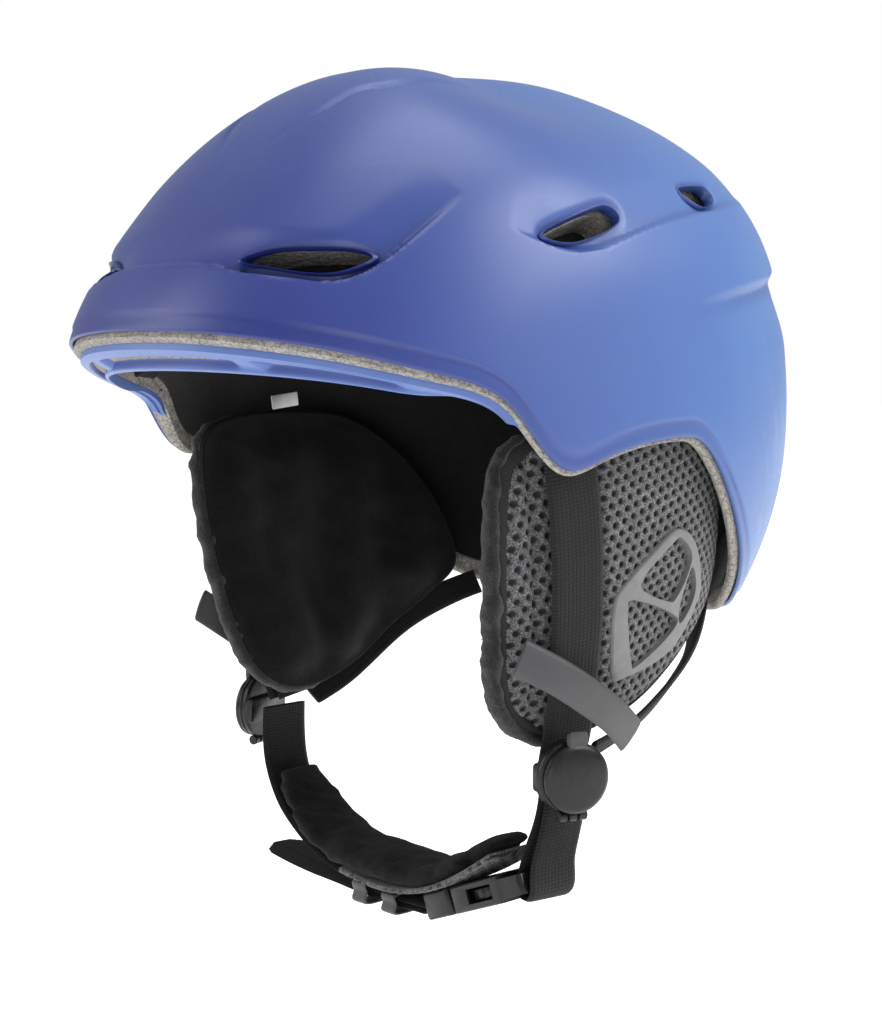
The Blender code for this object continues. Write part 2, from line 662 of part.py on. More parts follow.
def rack_outline(low, high, phase, back):
    """A rack along X with its pitch line at 0 and its teeth towards -Y."""
    pitch = 2 * math.pi * PINION_RADIUS / PINION_TEETH
    points = [(low, back), (low, 1.1)]
    first = math.ceil((low - phase) / pitch + 0.5)
    last = math.floor((high - phase) / pitch - 0.5)
    for tooth in range(first, last + 1):
        x = phase + tooth * pitch
        points += [(x - 1.0, 1.1), (x - 0.4, -0.6), (x + 0.4, -0.6), (x + 1.0, 1.1)]
    return points + [(high, 1.1), (high, back)]


def add_fit_system(black, grey):
    x, y, z = DIAL_CENTRE
    backward = Matrix.Rotation(-math.pi / 2, 4, "X")
    place = Matrix.Translation(DIAL_CENTRE) @ backward
    ribs = [(12.0 if k % 2 else 11.2, k) for k in range(36)]
    rim = [(r * math.cos(math.pi * k / 18), r * math.sin(math.pi * k / 18)) for r, k in ribs]
    dial = prism("fit_dial", rim, 1.2, 8.4, black, place, DIAL_CENTRE)
    spindle = prism("dial_spindle", circle(2.2, 14), -5.8, 2.0, black, place)
    join(dial, spindle)
    gear = prism("fit_pinion", pinion_outline(), -5.4, -1.6, grey, place, DIAL_CENTRE)
    cut(gear, prism("pinion_bore", circle(2.5, 14), -9, 2, black, place))
    housing = box("fit_housing", (-20, y - 8.6, z - 12), (20, y + 0.6, z + 20), black)
    hollow = box("housing_hollow", (-30, y - 6.2, z - 9.4), (30, y - 1.0, z + 9.4), black)
    bore = prism("housing_bore", circle(2.6, 14), -7.2, 5, black, place)
    step = box("housing_step", (-30, y - 1.2 - 8.6, z + 10.8), (30, y - 3.2, z + 30), black)
    cut(housing, hollow, bore, step)
    pitch = math.pi * PINION_RADIUS * 2 / PINION_TEETH
    low, high = RACK_SPAN
    outline = rack_outline(low, high, pitch / 2, 3.6)
    above = Matrix.Translation((x, y, z + PINION_RADIUS)) @ Matrix.Rotation(math.pi / 2, 4, "X")
    arm = prism("band_arm_left", outline, 1.9, 5.1, grey, above)
    reach = smooth_path(((32, y - 3.5, z + 7.6), (40, y - 4.4, z + 7.6), (47, y - 7.5, z + 7.6)), 6)
    widths, normals = strap_frame(reach, (0.5, 0.85, 0.0))
    tip = ribbon("band_tip_left", reach, widths, normals, grey, 2.6, 2.2)
    join(arm, tip)
    below = Matrix.Translation((x, y, z - PINION_RADIUS)) @ Matrix.Rotation(math.pi / 2, 4, "X")
    outline = [(-a, -b) for a, b in rack_outline(low, high, -pitch / 2 + pitch, 3.6)]
    arm = prism("band_arm_right", outline, 1.9, 5.1, grey, below)
    reach = (reach * (-1, 1, 1)) - (0, 0, 15.2)
    widths, normals = strap_frame(reach, (-0.5, 0.85, 0.0))
    tip = ribbon("band_tip_right", reach, widths, normals, grey, 2.6, 2.2)
    join(arm, tip)


# ---------------------------------------------------------------- goggle strap clip


def add_goggle_clip(black):
    low, high = CLIP_Z
    y = CLIP_BASE_Y
    base = box("goggle_clip_base", (-13, y, low), (13, y + 2.4, high), black)
    ears = [
        box(f"clip_ear_{k}", (x, y + 2, high - 6), (x + 3, y + 9.6, high), black) for k, x in enumerate((-12, 9))
    ]
    catch = box("clip_catch", (-6, y + 2, low + 0.4), (6, y + 6.2, low + 3.4), black)
    join(base, *ears, catch)
    pivot = (0.0, y + 7.0, high - 3.0)
    across = Matrix(((0, 0, 1, 0), (1, 0, 0, 0), (0, 1, 0, 0), (0, 0, 0, 1)))
    sideways = Matrix.Translation((0, y - 0.2, high - 3.0)) @ across
    arm = ((5.6, -1.8), (6.2, 1.6), (8.0, 1.9), (9.4, 0.4), (9.4, -26.5), (7.4, -26.5), (7.4, -4.0), (5.6, -2.4))
    return prism("goggle_clip", arm, -8.4, 8.4, black, sideways, pivot)


# ---------------------------------------------------------------- assembly


def main():
    for obj in list(bpy.data.objects):
        bpy.data.objects.remove(obj, do_unlink=True)
    shell_blue = new_material("shell_blue", (0.055, 0.105, 0.42), 0.38)
    trim_blue = new_material("trim_blue", (0.17, 0.28, 0.72), 0.4)
    foam = new_material("liner_foam", (0.30, 0.29, 0.27), 0.9)
    plush = new_material("black_plush", (0.012, 0.012, 0.013), 0.95)
    mesh_fabric = new_material("spacer_mesh", (0.02, 0.02, 0.022), 0.85)
    webbing = new_material("black_webbing", (0.016, 0.016, 0.017), 0.75)
    elastic = new_material("grey_elastic", (0.09, 0.085, 0.09), 0.6)
    black = new_material("black_plastic", (0.03, 0.03, 0.032), 0.35)
    grey = new_material("grey_rubber", (0.12, 0.115, 0.12), 0.55)
    white = new_material("white_label", (0.75, 0.75, 0.75), 0.7)

    shell, liner = add_shell(shell_blue), add_liner(foam)
    for cutter in add_vent_cutters(black):
        cut(shell, cutter)
        cut(liner, cutter)
    add_brow_trim(trim_blue)
    add_pads(plush, white)
    add_ear_pads(mesh_fabric, plush, grey)
    add_side_straps(webbing, elastic)
    add_dividers(black)
    add_chin_strap(webbing, plush, elastic)
    add_buckle(black)
    add_fit_system(black, grey)
    add_goggle_clip(black)


main()
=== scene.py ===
"""Looks of the ski helmet: shell, foam, plush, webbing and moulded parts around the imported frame.

The frame is the CAD's: origin where the crown of the head touches the crown pad, +Z up, -Y forward,
+X the wearer's left. Functions work in millimetres, and make_mesh turns them into metres.
"""

import math

import bmesh
import bpy
import numpy as np
from mathutils import Matrix, Vector


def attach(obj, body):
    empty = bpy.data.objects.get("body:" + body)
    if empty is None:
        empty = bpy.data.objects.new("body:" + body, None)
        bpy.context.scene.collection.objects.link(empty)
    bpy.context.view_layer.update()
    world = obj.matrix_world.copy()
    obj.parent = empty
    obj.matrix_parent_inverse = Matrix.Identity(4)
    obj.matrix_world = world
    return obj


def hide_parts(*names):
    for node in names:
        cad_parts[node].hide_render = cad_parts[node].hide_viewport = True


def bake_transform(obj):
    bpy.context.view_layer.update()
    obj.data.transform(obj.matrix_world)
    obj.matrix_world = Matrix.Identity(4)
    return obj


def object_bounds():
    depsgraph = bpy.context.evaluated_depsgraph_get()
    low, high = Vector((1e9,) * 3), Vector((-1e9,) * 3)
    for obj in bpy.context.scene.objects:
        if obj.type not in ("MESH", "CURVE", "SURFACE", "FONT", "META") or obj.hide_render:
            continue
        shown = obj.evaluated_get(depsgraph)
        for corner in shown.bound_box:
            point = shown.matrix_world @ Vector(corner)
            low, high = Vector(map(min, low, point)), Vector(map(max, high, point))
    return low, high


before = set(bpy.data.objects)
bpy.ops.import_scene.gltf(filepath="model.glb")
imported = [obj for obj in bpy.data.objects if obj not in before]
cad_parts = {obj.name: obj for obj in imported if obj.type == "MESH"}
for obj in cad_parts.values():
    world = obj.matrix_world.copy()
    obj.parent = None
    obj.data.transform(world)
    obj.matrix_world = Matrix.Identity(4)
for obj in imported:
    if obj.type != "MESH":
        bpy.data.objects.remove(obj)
cad_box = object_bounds()

MM = 0.001

# Camera: direction in degrees, distance, focal length over image height, and how far it is aimed
# sideways and down from the origin.
CAMERA_AZIMUTH = 46.4
CAMERA_ELEVATION = 4.7
CAMERA_DISTANCE = 600.0
CAMERA_LENS = 61.2
CAMERA_AIM = (2.2, -113.9)
FLOOR_DROP = 46.0

# The dome, as in the CAD: radii from its centre by angle down from the pole.
DOME_CENTRE = np.array((0.0, 0.0, -60.0))
DOME_SQUARENESS = (2.0, 2.3)
SQUARE_FROM = 60.0
PROFILE_ANGLES = (0, 25, 50, 70, 90, 110, 130, 150)
SHELL_RADII = (
    (95, 101, 104, 112, 129, 134.5, 138, 140),
    (95, 91, 99.5, 102, 100.5, 108.5, 120.5, 134.5),
    (95, 104, 115, 130, 137.5, 141, 141, 143.5),
)
LINER_THICKNESS = (
    (27, 26, 23, 21, 19, 18, 17, 16),
    (27, 24, 20, 16, 11, 5.5, 5, 5),
    (27, 27, 27, 27, 24, 13, 6, 6),
)
RIM = (
    (-90, 86.3), (-70, 87.3), (-54, 89.8), (-43, 92.4), (-36, 94.5), (-31, 98), (-27, 103),
    (-22.5, 107), (-15, 106.6), (6, 103.6), (11, 104), (16, 107), (21, 111.5), (28, 117.5),
    (37, 123.7), (46, 128.3), (60, 130.5), (90, 131.5),
)  # fmt: skip
LINER_BELOW_RIM = 1.3
LINER_BROW_DROP = 3.6
TEMPLE_END = -29.5

SHELL_THICKNESS = 1.6
SHELL_COLUMNS = 600
SHELL_ROWS = 190

# Vent outlines on the left half: (direction round, angle down).
VENTS = {
    "front": ((-73, 76.7), (-68.5, 75), (-61.5, 74.7), (-55, 75), (-52.5, 76.3), (-56.5, 78.4),
              (-61, 78.8), (-68, 77.8)),
    "side": ((-24.5, 70.1), (-9.8, 63.8), (-6.6, 66.7), (-18.5, 71.4)),
    "rear": ((18.3, 59), (30, 59), (30.5, 62), (23, 62.9)),
}  # fmt: skip

# How much wider each vent is in the foam than in the shell.
LINER_VENT_SIZE = {"front": 1.3, "side": 0.99, "rear": 0.99}

# Steps sculpted into the shell's left half: (direction round, angle down, depth) along each edge, the
# sign of its recessed side, the edge's half-width and how far the recess reaches.
STEPS = {
    "brow": (((-90, 76.6, 1.0), (-79, 77.0, 1.8), (-74, 77.9, 4.0), (-68, 78.9, 5.2), (-61, 79.6, 5.2),
              (-56, 79.4, 4.8), (-52, 77.4, 4.0), (-48, 73.9, 3.2), (-44, 70.0, 2.0), (-38.5, 64.9, 0)),
             1, 0.9, 17.0),
    "side": (((-31, 70.3, 0), (-25, 71.9, 1.8), (-17, 72.8, 2.4), (-9, 70.6, 2.2), (1.5, 67.2, 1.8),
              (22, 64.0, 2.0), (38, 63.2, 1.4), (56, 62.5, 0)), 1, 1.0, 16.0),
    "rear": (((10, 81.0, 0), (26, 78.9, 1.6), (50, 76.8, 2.6), (70, 75.8, 2.6), (90, 75.5, 2.6)),
             -1, 2.2, 26.0),
    "scoop": (((-81, 52.5, 0), (-74, 46.5, 0.7), (-69, 42.7, 0.9), (-64, 37.5, 0.9), (-59, 36.4, 2.0),
               (-50, 32, 2.0), (-38, 26.5, 0.9), (-20, 22, 0)), 1, 0.7, 6.0),
}  # fmt: skip

# How much painted shade darkens the colour in a crease, how high the step must be for that, and how
# much painted shade darkens it along a vent's edge.
CREASE_SHADE = 0.5
CREASE_FULL = 4.0
VENT_SHADE = 0.75

# The shell's rolled edge: how deep the band along the rim stands in, how deep the line at the band's
# top is, and how far that line is from the rim.
RIM_BAND_DEPTH = 0.5
RIM_LINE_DEPTH = 0.35
RIM_LINE_UP = 4.0

# Ear pad: outline in (y, z), how far its face stands out, and how it leans inward towards the bottom.
EAR_TOP_Z = -85.0
EAR_BOTTOM_Z = -185.0
EAR_BULGE = (
    (-60, 73), (-50, 80), (-35, 86), (-20, 90), (0, 93), (20, 93.8), (40, 91), (60, 82.5), (80, 71),
)  # fmt: skip
EAR_LEAN = 22.0
EAR_OUTLINE = (
    (-46, -90), (-47.5, -112), (-43.5, -140), (-39, -160), (-32, -174), (-18, -182.5), (2, -183),
    (22, -177), (40, -166), (58, -154), (70, -141), (66, -118), (52, -96), (32, -83), (4, -80),
    (-30, -82),
)  # fmt: skip
EAR_MIDDLE = np.array((4.0, -132.0))
MESH_PITCH = (3.9, 3.35)
MESH_SLANT = 20.0
BADGE_OUTLINE = (
    (3, -162), (-3, -140), (1, -131), (17, -117.5), (25, -116), (34, -122), (43, -136), (42, -143),
    (31, -157), (10, -164),
)  # fmt: skip
BADGE_SLOTS = (
    ((10, -158.5), (3, -141.5), (5, -137.5), (26, -144), (29.5, -149), (14, -160)),
    ((6.5, -132.5), (19, -120), (24, -119), (31.5, -126), (27, -138), (22, -139.5)),
    ((32.5, -129), (38.5, -136.5), (37, -143.5), (32, -148), (29.5, -141)),
)  # fmt: skip

# Webbing: distance between its ribs, and between the rows of points along a strap.
WEB_RIB = 1.15
STRAP_STEP = 0.3

# Routes of the rear strap and of the band across the ear pad, on the left.
REAR_STRAP_ROUTE = (
    (71.5, 2, -188), (73, 20, -182), (73.5, 38, -171.5), (69.5, 56, -160.5), (61, 70, -153), (56, 77, -150),
)  # fmt: skip
KEEPER_ROUTE = (
    (82, -42, -151), (85.8, -30, -157.5), (87.8, -17, -165.5), (87.8, -5, -173.5), (86, 5.5, -181.5),
)  # fmt: skip

# Divider: the middle of its face, and how far that face is turned from forward to the side.
DIVIDER_FACE = (85.0, -18.0, -192.0)
DIVIDER_TOE_OUT = math.radians(70)

# Chin strap: routes of its webbings and pad.
CHIN_ROUTE = (
    (-67.6, -14, -190), (-67.4, -14.3, -199), (-65, -15.5, -208.5), (-58, -17.5, -219), (-46, -19, -229),
    (-30, -20, -236.8), (-12, -20, -241.6), (8, -20, -243.6), (26.4, -19.5, -243.3),
)  # fmt: skip
# The near webbing's two layers: the outer one wraps the buckle's bar.
NEAR_ROUTES = (
    ((71.0, -11.5, -196), (70.4, -13, -206), (69, -16, -216), (68.1, -18.9, -227)),
    ((73, -10.5, -196), (72.8, -12.2, -206), (73.2, -15.8, -216), (74.2, -18.6, -222), (74.6, -19, -227),
     (72.2, -19, -231.5), (68.6, -19, -230.5), (68.0, -19, -227.5)),
)  # fmt: skip
PAD_ROUTE = (
    (-57, -17.5, -210.5), (-46, -19, -221.3), (-30, -20, -229.1), (-12, -20, -233.8), (8, -20, -235.6),
    (26, -20, -232.8), (42, -19.5, -225.4), (57, -18.5, -215.5),
)  # fmt: skip
TAIL_ROUTE = ((24, -19.5, -246), (2, -20, -245.9), (-20, -20, -244.9), (-42, -20, -243.4), (-62, -20, -240.8))
KEEPERS = {"keeper_band_inner": -3.5, "keeper_band_outer": 11.5}
BUCKLE_BAR = (70.0, -19.0, -226.0)
BUCKLE_TILT = math.radians(21.7)
PRONG_ROOT = (-37.5, 8.6)
DIAL_CENTRE = (0.0, 96.5, -167.0)

CLOTH_FRAMES = 20
CLOTH_PRESSURE = 4.0


# ---------------------------------------------------------------- curves and the dome


def natural_curve(xs, ys, flat_start=False, flat_end=False):
    """A smooth curve through the points (xs, ys), as a function of x; a flat end has no slope there."""
    xs, ys = np.asarray(xs, float), np.asarray(ys, float)
    count, steps = len(xs), np.diff(xs)
    matrix, right = np.zeros((count, count)), np.zeros(count)
    for i in range(1, count - 1):
        matrix[i, i - 1 : i + 2] = steps[i - 1], 2 * (steps[i - 1] + steps[i]), steps[i]
        right[i] = 6 * ((ys[i + 1] - ys[i]) / steps[i] - (ys[i] - ys[i - 1]) / steps[i - 1])
    matrix[0, 0] = matrix[-1, -1] = 1
    if flat_start:
        matrix[0, :2] = (2 * steps[0], steps[0])
        right[0] = 6 * (ys[1] - ys[0]) / steps[0]
    if flat_end:
        matrix[-1, -2:] = (steps[-1], 2 * steps[-1])
        right[-1] = -6 * (ys[-1] - ys[-2]) / steps[-1]
    bend = np.linalg.solve(matrix, right)

    def value(x):
        x = np.clip(np.asarray(x, float), xs[0], xs[-1])
        i = np.clip(np.searchsorted(xs, x) - 1, 0, count - 2)
        h, left, after = steps[i], x - xs[i], xs[i + 1] - x
        straight = (ys[i] * after + ys[i + 1] * left) / h
        curved = bend[i] * after * (after**2 - h**2) + bend[i + 1] * left * (left**2 - h**2)
        return straight + curved / (6 * h)

    return value


OUTER = [natural_curve(PROFILE_ANGLES, radii, flat_start=True) for radii in SHELL_RADII]
INNER = [
    natural_curve(PROFILE_ANGLES, np.subtract(radii, thickness), flat_start=True)
    for radii, thickness in zip(SHELL_RADII, LINER_THICKNESS)
]
EAR_CURVE = natural_curve([y for y, _ in EAR_BULGE], [x for _, x in EAR_BULGE])
RIM_CURVE = natural_curve([a for a, _ in RIM], [b for _, b in RIM], flat_start=True, flat_end=True)


def half_angle(around):
    """The direction on the left half that mirrors this one."""
    around = np.radians(around)
    return np.degrees(np.arctan2(np.sin(around), np.abs(np.cos(around))))


def rim_angle(around):
    return RIM_CURVE(half_angle(around))


def dome(profiles, around, down, inset=0.0):
    """Points on a dome for arrays of angles in degrees."""
    around, down = np.broadcast_arrays(np.asarray(around, float), np.asarray(down, float))
    theta, phi = np.radians(around), np.radians(down)
    front, side, rear = (profile(down) for profile in profiles)
    lengthwise = np.where(np.sin(theta) < 0, front, rear)
    n = DOME_SQUARENESS[0] + np.diff(DOME_SQUARENESS)[0] * np.clip(down / SQUARE_FROM, 0, 1)
    total = (np.abs(np.cos(theta)) / side) ** n + (np.abs(np.sin(theta)) / lengthwise) ** n
    radius = total ** (-1 / n) - inset
    direction = np.stack((np.sin(phi) * np.cos(theta), np.sin(phi) * np.sin(theta), np.cos(phi)), -1)
    return DOME_CENTRE + radius[..., None] * direction


def inner_drop(around):
    """How far below the shell's rim the inner edge of the liner is, in degrees."""
    return LINER_BELOW_RIM + LINER_BROW_DROP * np.maximum(0, -np.sin(np.radians(around))) ** 2


def smooth_path(points, count):
    """Points at even steps along a smooth curve through the given ones."""
    points = np.array(points, float)
    along = np.concatenate([[0], np.cumsum(np.linalg.norm(np.diff(points, axis=0), axis=1))])
    curves = [natural_curve(along, points[:, k]) for k in range(points.shape[1])]
    stations = np.linspace(0, along[-1], count)
    return np.stack([curve(stations) for curve in curves], axis=1)


def rounded_loop(points, per_side):
    """A closed Catmull-Rom curve through the points."""
    points = np.array(points, float)
    out = []
    for i in range(len(points)):
        a, b, c, d = (points[(i + k) % len(points)] for k in (-1, 0, 1, 2))
        for t in np.linspace(0, 1, per_side, endpoint=False):
            square, cube = 2 * a - 5 * b + 4 * c - d, 3 * b - a - 3 * c + d
            out.append(0.5 * (2 * b + (c - a) * t + square * t**2 + cube * t**3))
    return np.array(out)


def smoothstep(low, high, x):
    t = np.clip((x - low) / (high - low), 0, 1)
    return t * t * (3 - 2 * t)


def window(x, low, high, soft):
    """1 between low and high, with soft ends."""
    return smoothstep(low - soft, low + soft, x) * (1 - smoothstep(high - soft, high + soft, x))


def unit(v):
    return v / np.maximum(np.linalg.norm(v, axis=-1, keepdims=True), 1e-9)


def hill(x, width):
    """A smooth bump of height 1 and this half-width."""
    return np.where(np.abs(x) < width, 0.5 + 0.5 * np.cos(np.pi * np.clip(x / width, -1, 1)), 0.0)


def wobble(points, size, seed=0):
    """Smooth made-up unevenness, about -1 to 1, with waves of roughly this length in millimetres."""
    spin = np.random.default_rng(seed)
    total = np.zeros(points.shape[:-1])
    for _ in range(7):
        wave = spin.normal(size=3)
        wave *= spin.uniform(0.7, 1.5) * 2 * np.pi / size / np.linalg.norm(wave)
        total += np.sin(points @ wave + spin.uniform(0, 2 * np.pi))
    return total / 3


# ---------------------------------------------------------------- meshes


def skin_faces(rows, columns, closed_rows):
    row = np.arange(rows if closed_rows else rows - 1)[:, None]
    column = np.arange(columns)[None, :]
    after = (row + 1) % rows
    right = (column + 1) % columns
    return np.stack((row * columns + column, row * columns + right, after * columns + right,
                     after * columns + column), -1).reshape(-1, 4)  # fmt: skip


def make_mesh(name, points, faces, material, values=None, pole_faces=()):
    """A smooth mesh object from points in millimetres, its faces turned outward.

    values are the attributes to add, by name, with one value or vector for each point.
    """
    points = np.asarray(points, float).reshape(-1, 3)
    corners = points[np.asarray(faces)]
    volume = np.einsum("ij,ij->i", np.cross(corners[:, 0], corners[:, 1]), corners[:, 2]).sum()
    volume += np.einsum("ij,ij->i", np.cross(corners[:, 0], corners[:, 2]), corners[:, -1]).sum()
    lists = [list(face) for face in np.asarray(faces).tolist()] + [list(face) for face in pole_faces]
    if volume < 0:
        lists = [face[::-1] for face in lists]
    mesh = bpy.data.meshes.new(name)
    mesh.from_pydata((points * MM).tolist(), [], lists)
    for key, value in (values or {}).items():
        value = np.asarray(value, np.float32)
        kind = "FLOAT_VECTOR" if value.size == 3 * len(points) else "FLOAT"
        field = "vector" if kind == "FLOAT_VECTOR" else "value"
        mesh.attributes.new(key, kind, "POINT").data.foreach_set(field, value.ravel())
    mesh.materials.append(material)
    mesh.shade_smooth()
    obj = bpy.data.objects.new(name, mesh)
    bpy.context.scene.collection.objects.link(obj)
    return obj


def skin(name, rings, material, values=None, closed_rows=False):
    """A closed body from rings of points. The first and last ring are closed round their middle point."""
    rings = np.asarray(rings, float)
    rows, columns = rings.shape[:2]
    faces = skin_faces(rows, columns, closed_rows)
    points = rings.reshape(-1, 3)
    values = {key: np.asarray(value, float) for key, value in (values or {}).items()}
    if closed_rows:
        return make_mesh(name, points, faces, material, values)
    points = np.concatenate([points, rings[:1].mean(1), rings[-1:].mean(1)])
    flat = {}
    for key, value in values.items():
        deep = value.reshape(rows, columns, -1)
        flat[key] = np.concatenate([deep.reshape(rows * columns, -1), deep[:1].mean(1), deep[-1:].mean(1)])
    first, last = rows * columns, rows * columns + 1
    end = (rows - 1) * columns
    fans = [(first, (c + 1) % columns, c) for c in range(columns)]
    fans += [(last, end + c, end + (c + 1) % columns) for c in range(columns)]
    return make_mesh(name, points, faces, material, flat, fans)


def grid_normals(grid):
    """Outward directions of a surface given as rows by closed columns."""
    across = np.roll(grid, -1, 1) - np.roll(grid, 1, 1)
    down = np.gradient(grid, axis=0)
    normals = unit(np.cross(down, across))
    normals[0] = normals[1]
    outward = np.sign(np.einsum("ijk,ijk->ij", normals, grid - DOME_CENTRE))
    return normals * np.where(outward == 0, 1, outward)[..., None]


def finish_piece(obj, body, slot, *nodes, sharp=None):
    """Puts the piece on its body and in place of its CAD nodes; slot is not used."""
    if sharp:
        obj.data.set_sharp_from_angle(angle=math.radians(sharp))
    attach(obj, body)
    if nodes:
        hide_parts(*nodes)
    return obj


def cut_with(target, cutters):
    """Takes the cutters out of the target and removes them."""
    for cutter in cutters:
        modifier = target.modifiers.new("cut", "BOOLEAN")
        modifier.solver = "MANIFOLD"
        modifier.operation = "DIFFERENCE"
        modifier.object = cutter
    apply_modifiers(target)
    for cutter in cutters:
        bpy.data.objects.remove(cutter, do_unlink=True)


def apply_modifiers(obj):
    graph = bpy.context.evaluated_depsgraph_get()
    mesh = bpy.data.meshes.new_from_object(obj.evaluated_get(graph), depsgraph=graph)
    obj.modifiers.clear()
    obj.data = mesh


# ---------------------------------------------------------------- materials


class Paint:
    """A material being wired: a Principled shader and short names for the nodes that feed it."""

    def __init__(self, name, roughness=0.5, **settings):
        self.material = bpy.data.materials.new(name)
        self.material.use_nodes = True
        self.nodes = self.material.node_tree.nodes
        self.links = self.material.node_tree.links
        self.shader = self.nodes["Principled BSDF"]
        self.shader.inputs["Roughness"].default_value = roughness
        for key, value in settings.items():
            self.shader.inputs[key.replace("_", " ")].default_value = value
        self.place = self.add("ShaderNodeTexCoord").outputs["Object"]

    def add(self, kind, *inputs, **fields):
        node = self.nodes.new(kind)
        for key, value in fields.items():
            setattr(node, key, value)
        for index, value in enumerate(inputs):
            self.put(value, node.inputs[index])
        return node

    def put(self, value, socket):
        if value is None:
            return
        if isinstance(value, bpy.types.NodeSocket):
            self.links.new(value, socket)
        else:
            socket.default_value = value

    def math(self, operation, *inputs):
        return self.add("ShaderNodeMath", *inputs, operation=operation).outputs[0]

    def attribute(self, name, vector=False):
        node = self.add("ShaderNodeAttribute", attribute_name=name)
        return node.outputs["Vector" if vector else "Fac"]

    def noise(self, size, detail=2.0, roughness=0.5, place=None, stretch=None):
        """Noise whose features are about this many millimetres."""
        place = place or self.place
        if stretch:
            place = self.add("ShaderNodeVectorMath", place, stretch, operation="MULTIPLY").outputs[0]
        node = self.add("ShaderNodeTexNoise")
        self.put(place, node.inputs["Vector"])
        node.inputs["Scale"].default_value = 1 / (size * MM)
        node.inputs["Detail"].default_value = detail
        node.inputs["Roughness"].default_value = roughness
        return node.outputs["Fac"]

    def cells(self, size, feature="F1", output="Distance", place=None):
        node = self.add("ShaderNodeTexVoronoi", feature=feature)
        self.put(place or self.place, node.inputs["Vector"])
        node.inputs["Scale"].default_value = 1 / (size * MM)
        return node.outputs[output]

    def between(self, value, low, high, out_low=0.0, out_high=1.0):
        node = self.add("ShaderNodeMapRange", value, low, high, out_low, out_high)
        return node.outputs[0]

    def mix(self, share, first, second):
        node = self.add("ShaderNodeMix", data_type="RGBA")
        for value, key in ((share, "Factor"), (first, "A"), (second, "B")):
            kind = "VALUE" if key == "Factor" else "RGBA"
            socket = next(s for s in node.inputs if s.name == key and s.type == kind)
            if isinstance(value, tuple):
                value = (*value, 1.0) if len(value) == 3 else value
            self.put(value, socket)
        return next(s for s in node.outputs if s.type == "RGBA")

    def color(self, value):
        self.put(value, self.shader.inputs["Base Color"])

    def rough(self, value):
        self.put(value, self.shader.inputs["Roughness"])

    def bump(self, height, depth, strength=1.0):
        """Relief from a 0 to 1 height, of this depth in millimetres, on top of the relief added before."""
        node = self.add("ShaderNodeBump")
        node.inputs["Strength"].default_value = strength
        node.inputs["Distance"].default_value = depth * MM
        self.put(height, node.inputs["Height"])
        socket = self.shader.inputs["Normal"]
        if socket.is_linked:
            self.put(socket.links[0].from_socket, node.inputs["Normal"])
        self.put(node.outputs[0], socket)


def shell_paint():
    paint = Paint("shell_blue", 0.36, Coat_Weight=0.08, Coat_Roughness=0.3)
    separate = paint.add("ShaderNodeSeparateXYZ", paint.place).outputs
    # Lighter towards the rear: painted light where the key light falls on the rear of the shell.
    painted_rear_light = paint.between(separate["Y"], -0.11, 0.12)
    base = paint.mix(painted_rear_light, (0.020, 0.033, 0.19), (0.10, 0.21, 0.46))
    base = paint.mix(paint.between(paint.noise(40, 3), 0.35, 0.75, 0.0, 0.25), base, (0.05, 0.09, 0.30))
    # Fine slanted strokes low on the rear sides.
    slanted = paint.add("ShaderNodeVectorRotate", rotation_type="EULER_XYZ").outputs[0]
    paint.put(paint.place, slanted.node.inputs["Vector"])
    slanted.node.inputs["Rotation"].default_value = (math.radians(-24), 0, 0)
    strokes = paint.noise(9, 3, 0.7, slanted, (0.5, 2.6, 0.22))
    behind, low = paint.between(separate["Y"], 0.055, 0.10), paint.between(separate["Z"], -0.055, -0.085)
    zone = paint.math("MULTIPLY", behind, low)
    streak = paint.math("MULTIPLY", paint.between(strokes, 0.52, 0.64), paint.math("MULTIPLY", zone, 0.42))
    base = paint.mix(streak, base, (0.24, 0.36, 0.66))
    # Painted shade: darker in the sculpted creases, round the vents and along the rim.
    base = paint.mix(paint.attribute("shade"), base, (0.008, 0.016, 0.14))
    paint.color(base)
    paint.rough(paint.between(paint.noise(1.1, 3), 0.3, 0.7, 0.33, 0.43))
    paint.bump(paint.noise(0.5, 2), 0.012, 0.5)
    return paint.material


def foam_paint():
    paint = Paint("foam_beads", 0.9)
    beads = paint.cells(2.6)
    edges = paint.cells(2.6, "DISTANCE_TO_EDGE")
    tone = paint.mix(paint.noise(6, 4, 0.7), (0.20, 0.185, 0.165), (0.52, 0.49, 0.44))
    tone = paint.mix(paint.between(paint.noise(0.9, 3, 0.8), 0.5, 0.72), tone, (0.075, 0.07, 0.065))
    tone = paint.mix(paint.between(edges, 0.0, 0.09, 0.55, 0.0), tone, (0.05, 0.045, 0.04))
    paint.color(tone)
    paint.bump(paint.math("SUBTRACT", 1.0, beads), 0.5)
    paint.bump(paint.noise(0.7, 3, 0.7), 0.25)
    return paint.material


def trim_paint():
    paint = Paint("trim_blue", 0.42, Coat_Weight=0.05)
    base = paint.mix(paint.noise(30, 2), (0.078, 0.138, 0.37), (0.10, 0.168, 0.42))
    # Painted shade in the groove and pockets.
    base = paint.mix(paint.attribute("shade"), base, (0.018, 0.030, 0.22))
    paint.color(base)
    paint.rough(paint.between(paint.noise(0.8, 3), 0.3, 0.7, 0.36, 0.5))
    paint.bump(paint.noise(0.35, 2), 0.02)
    return paint.material


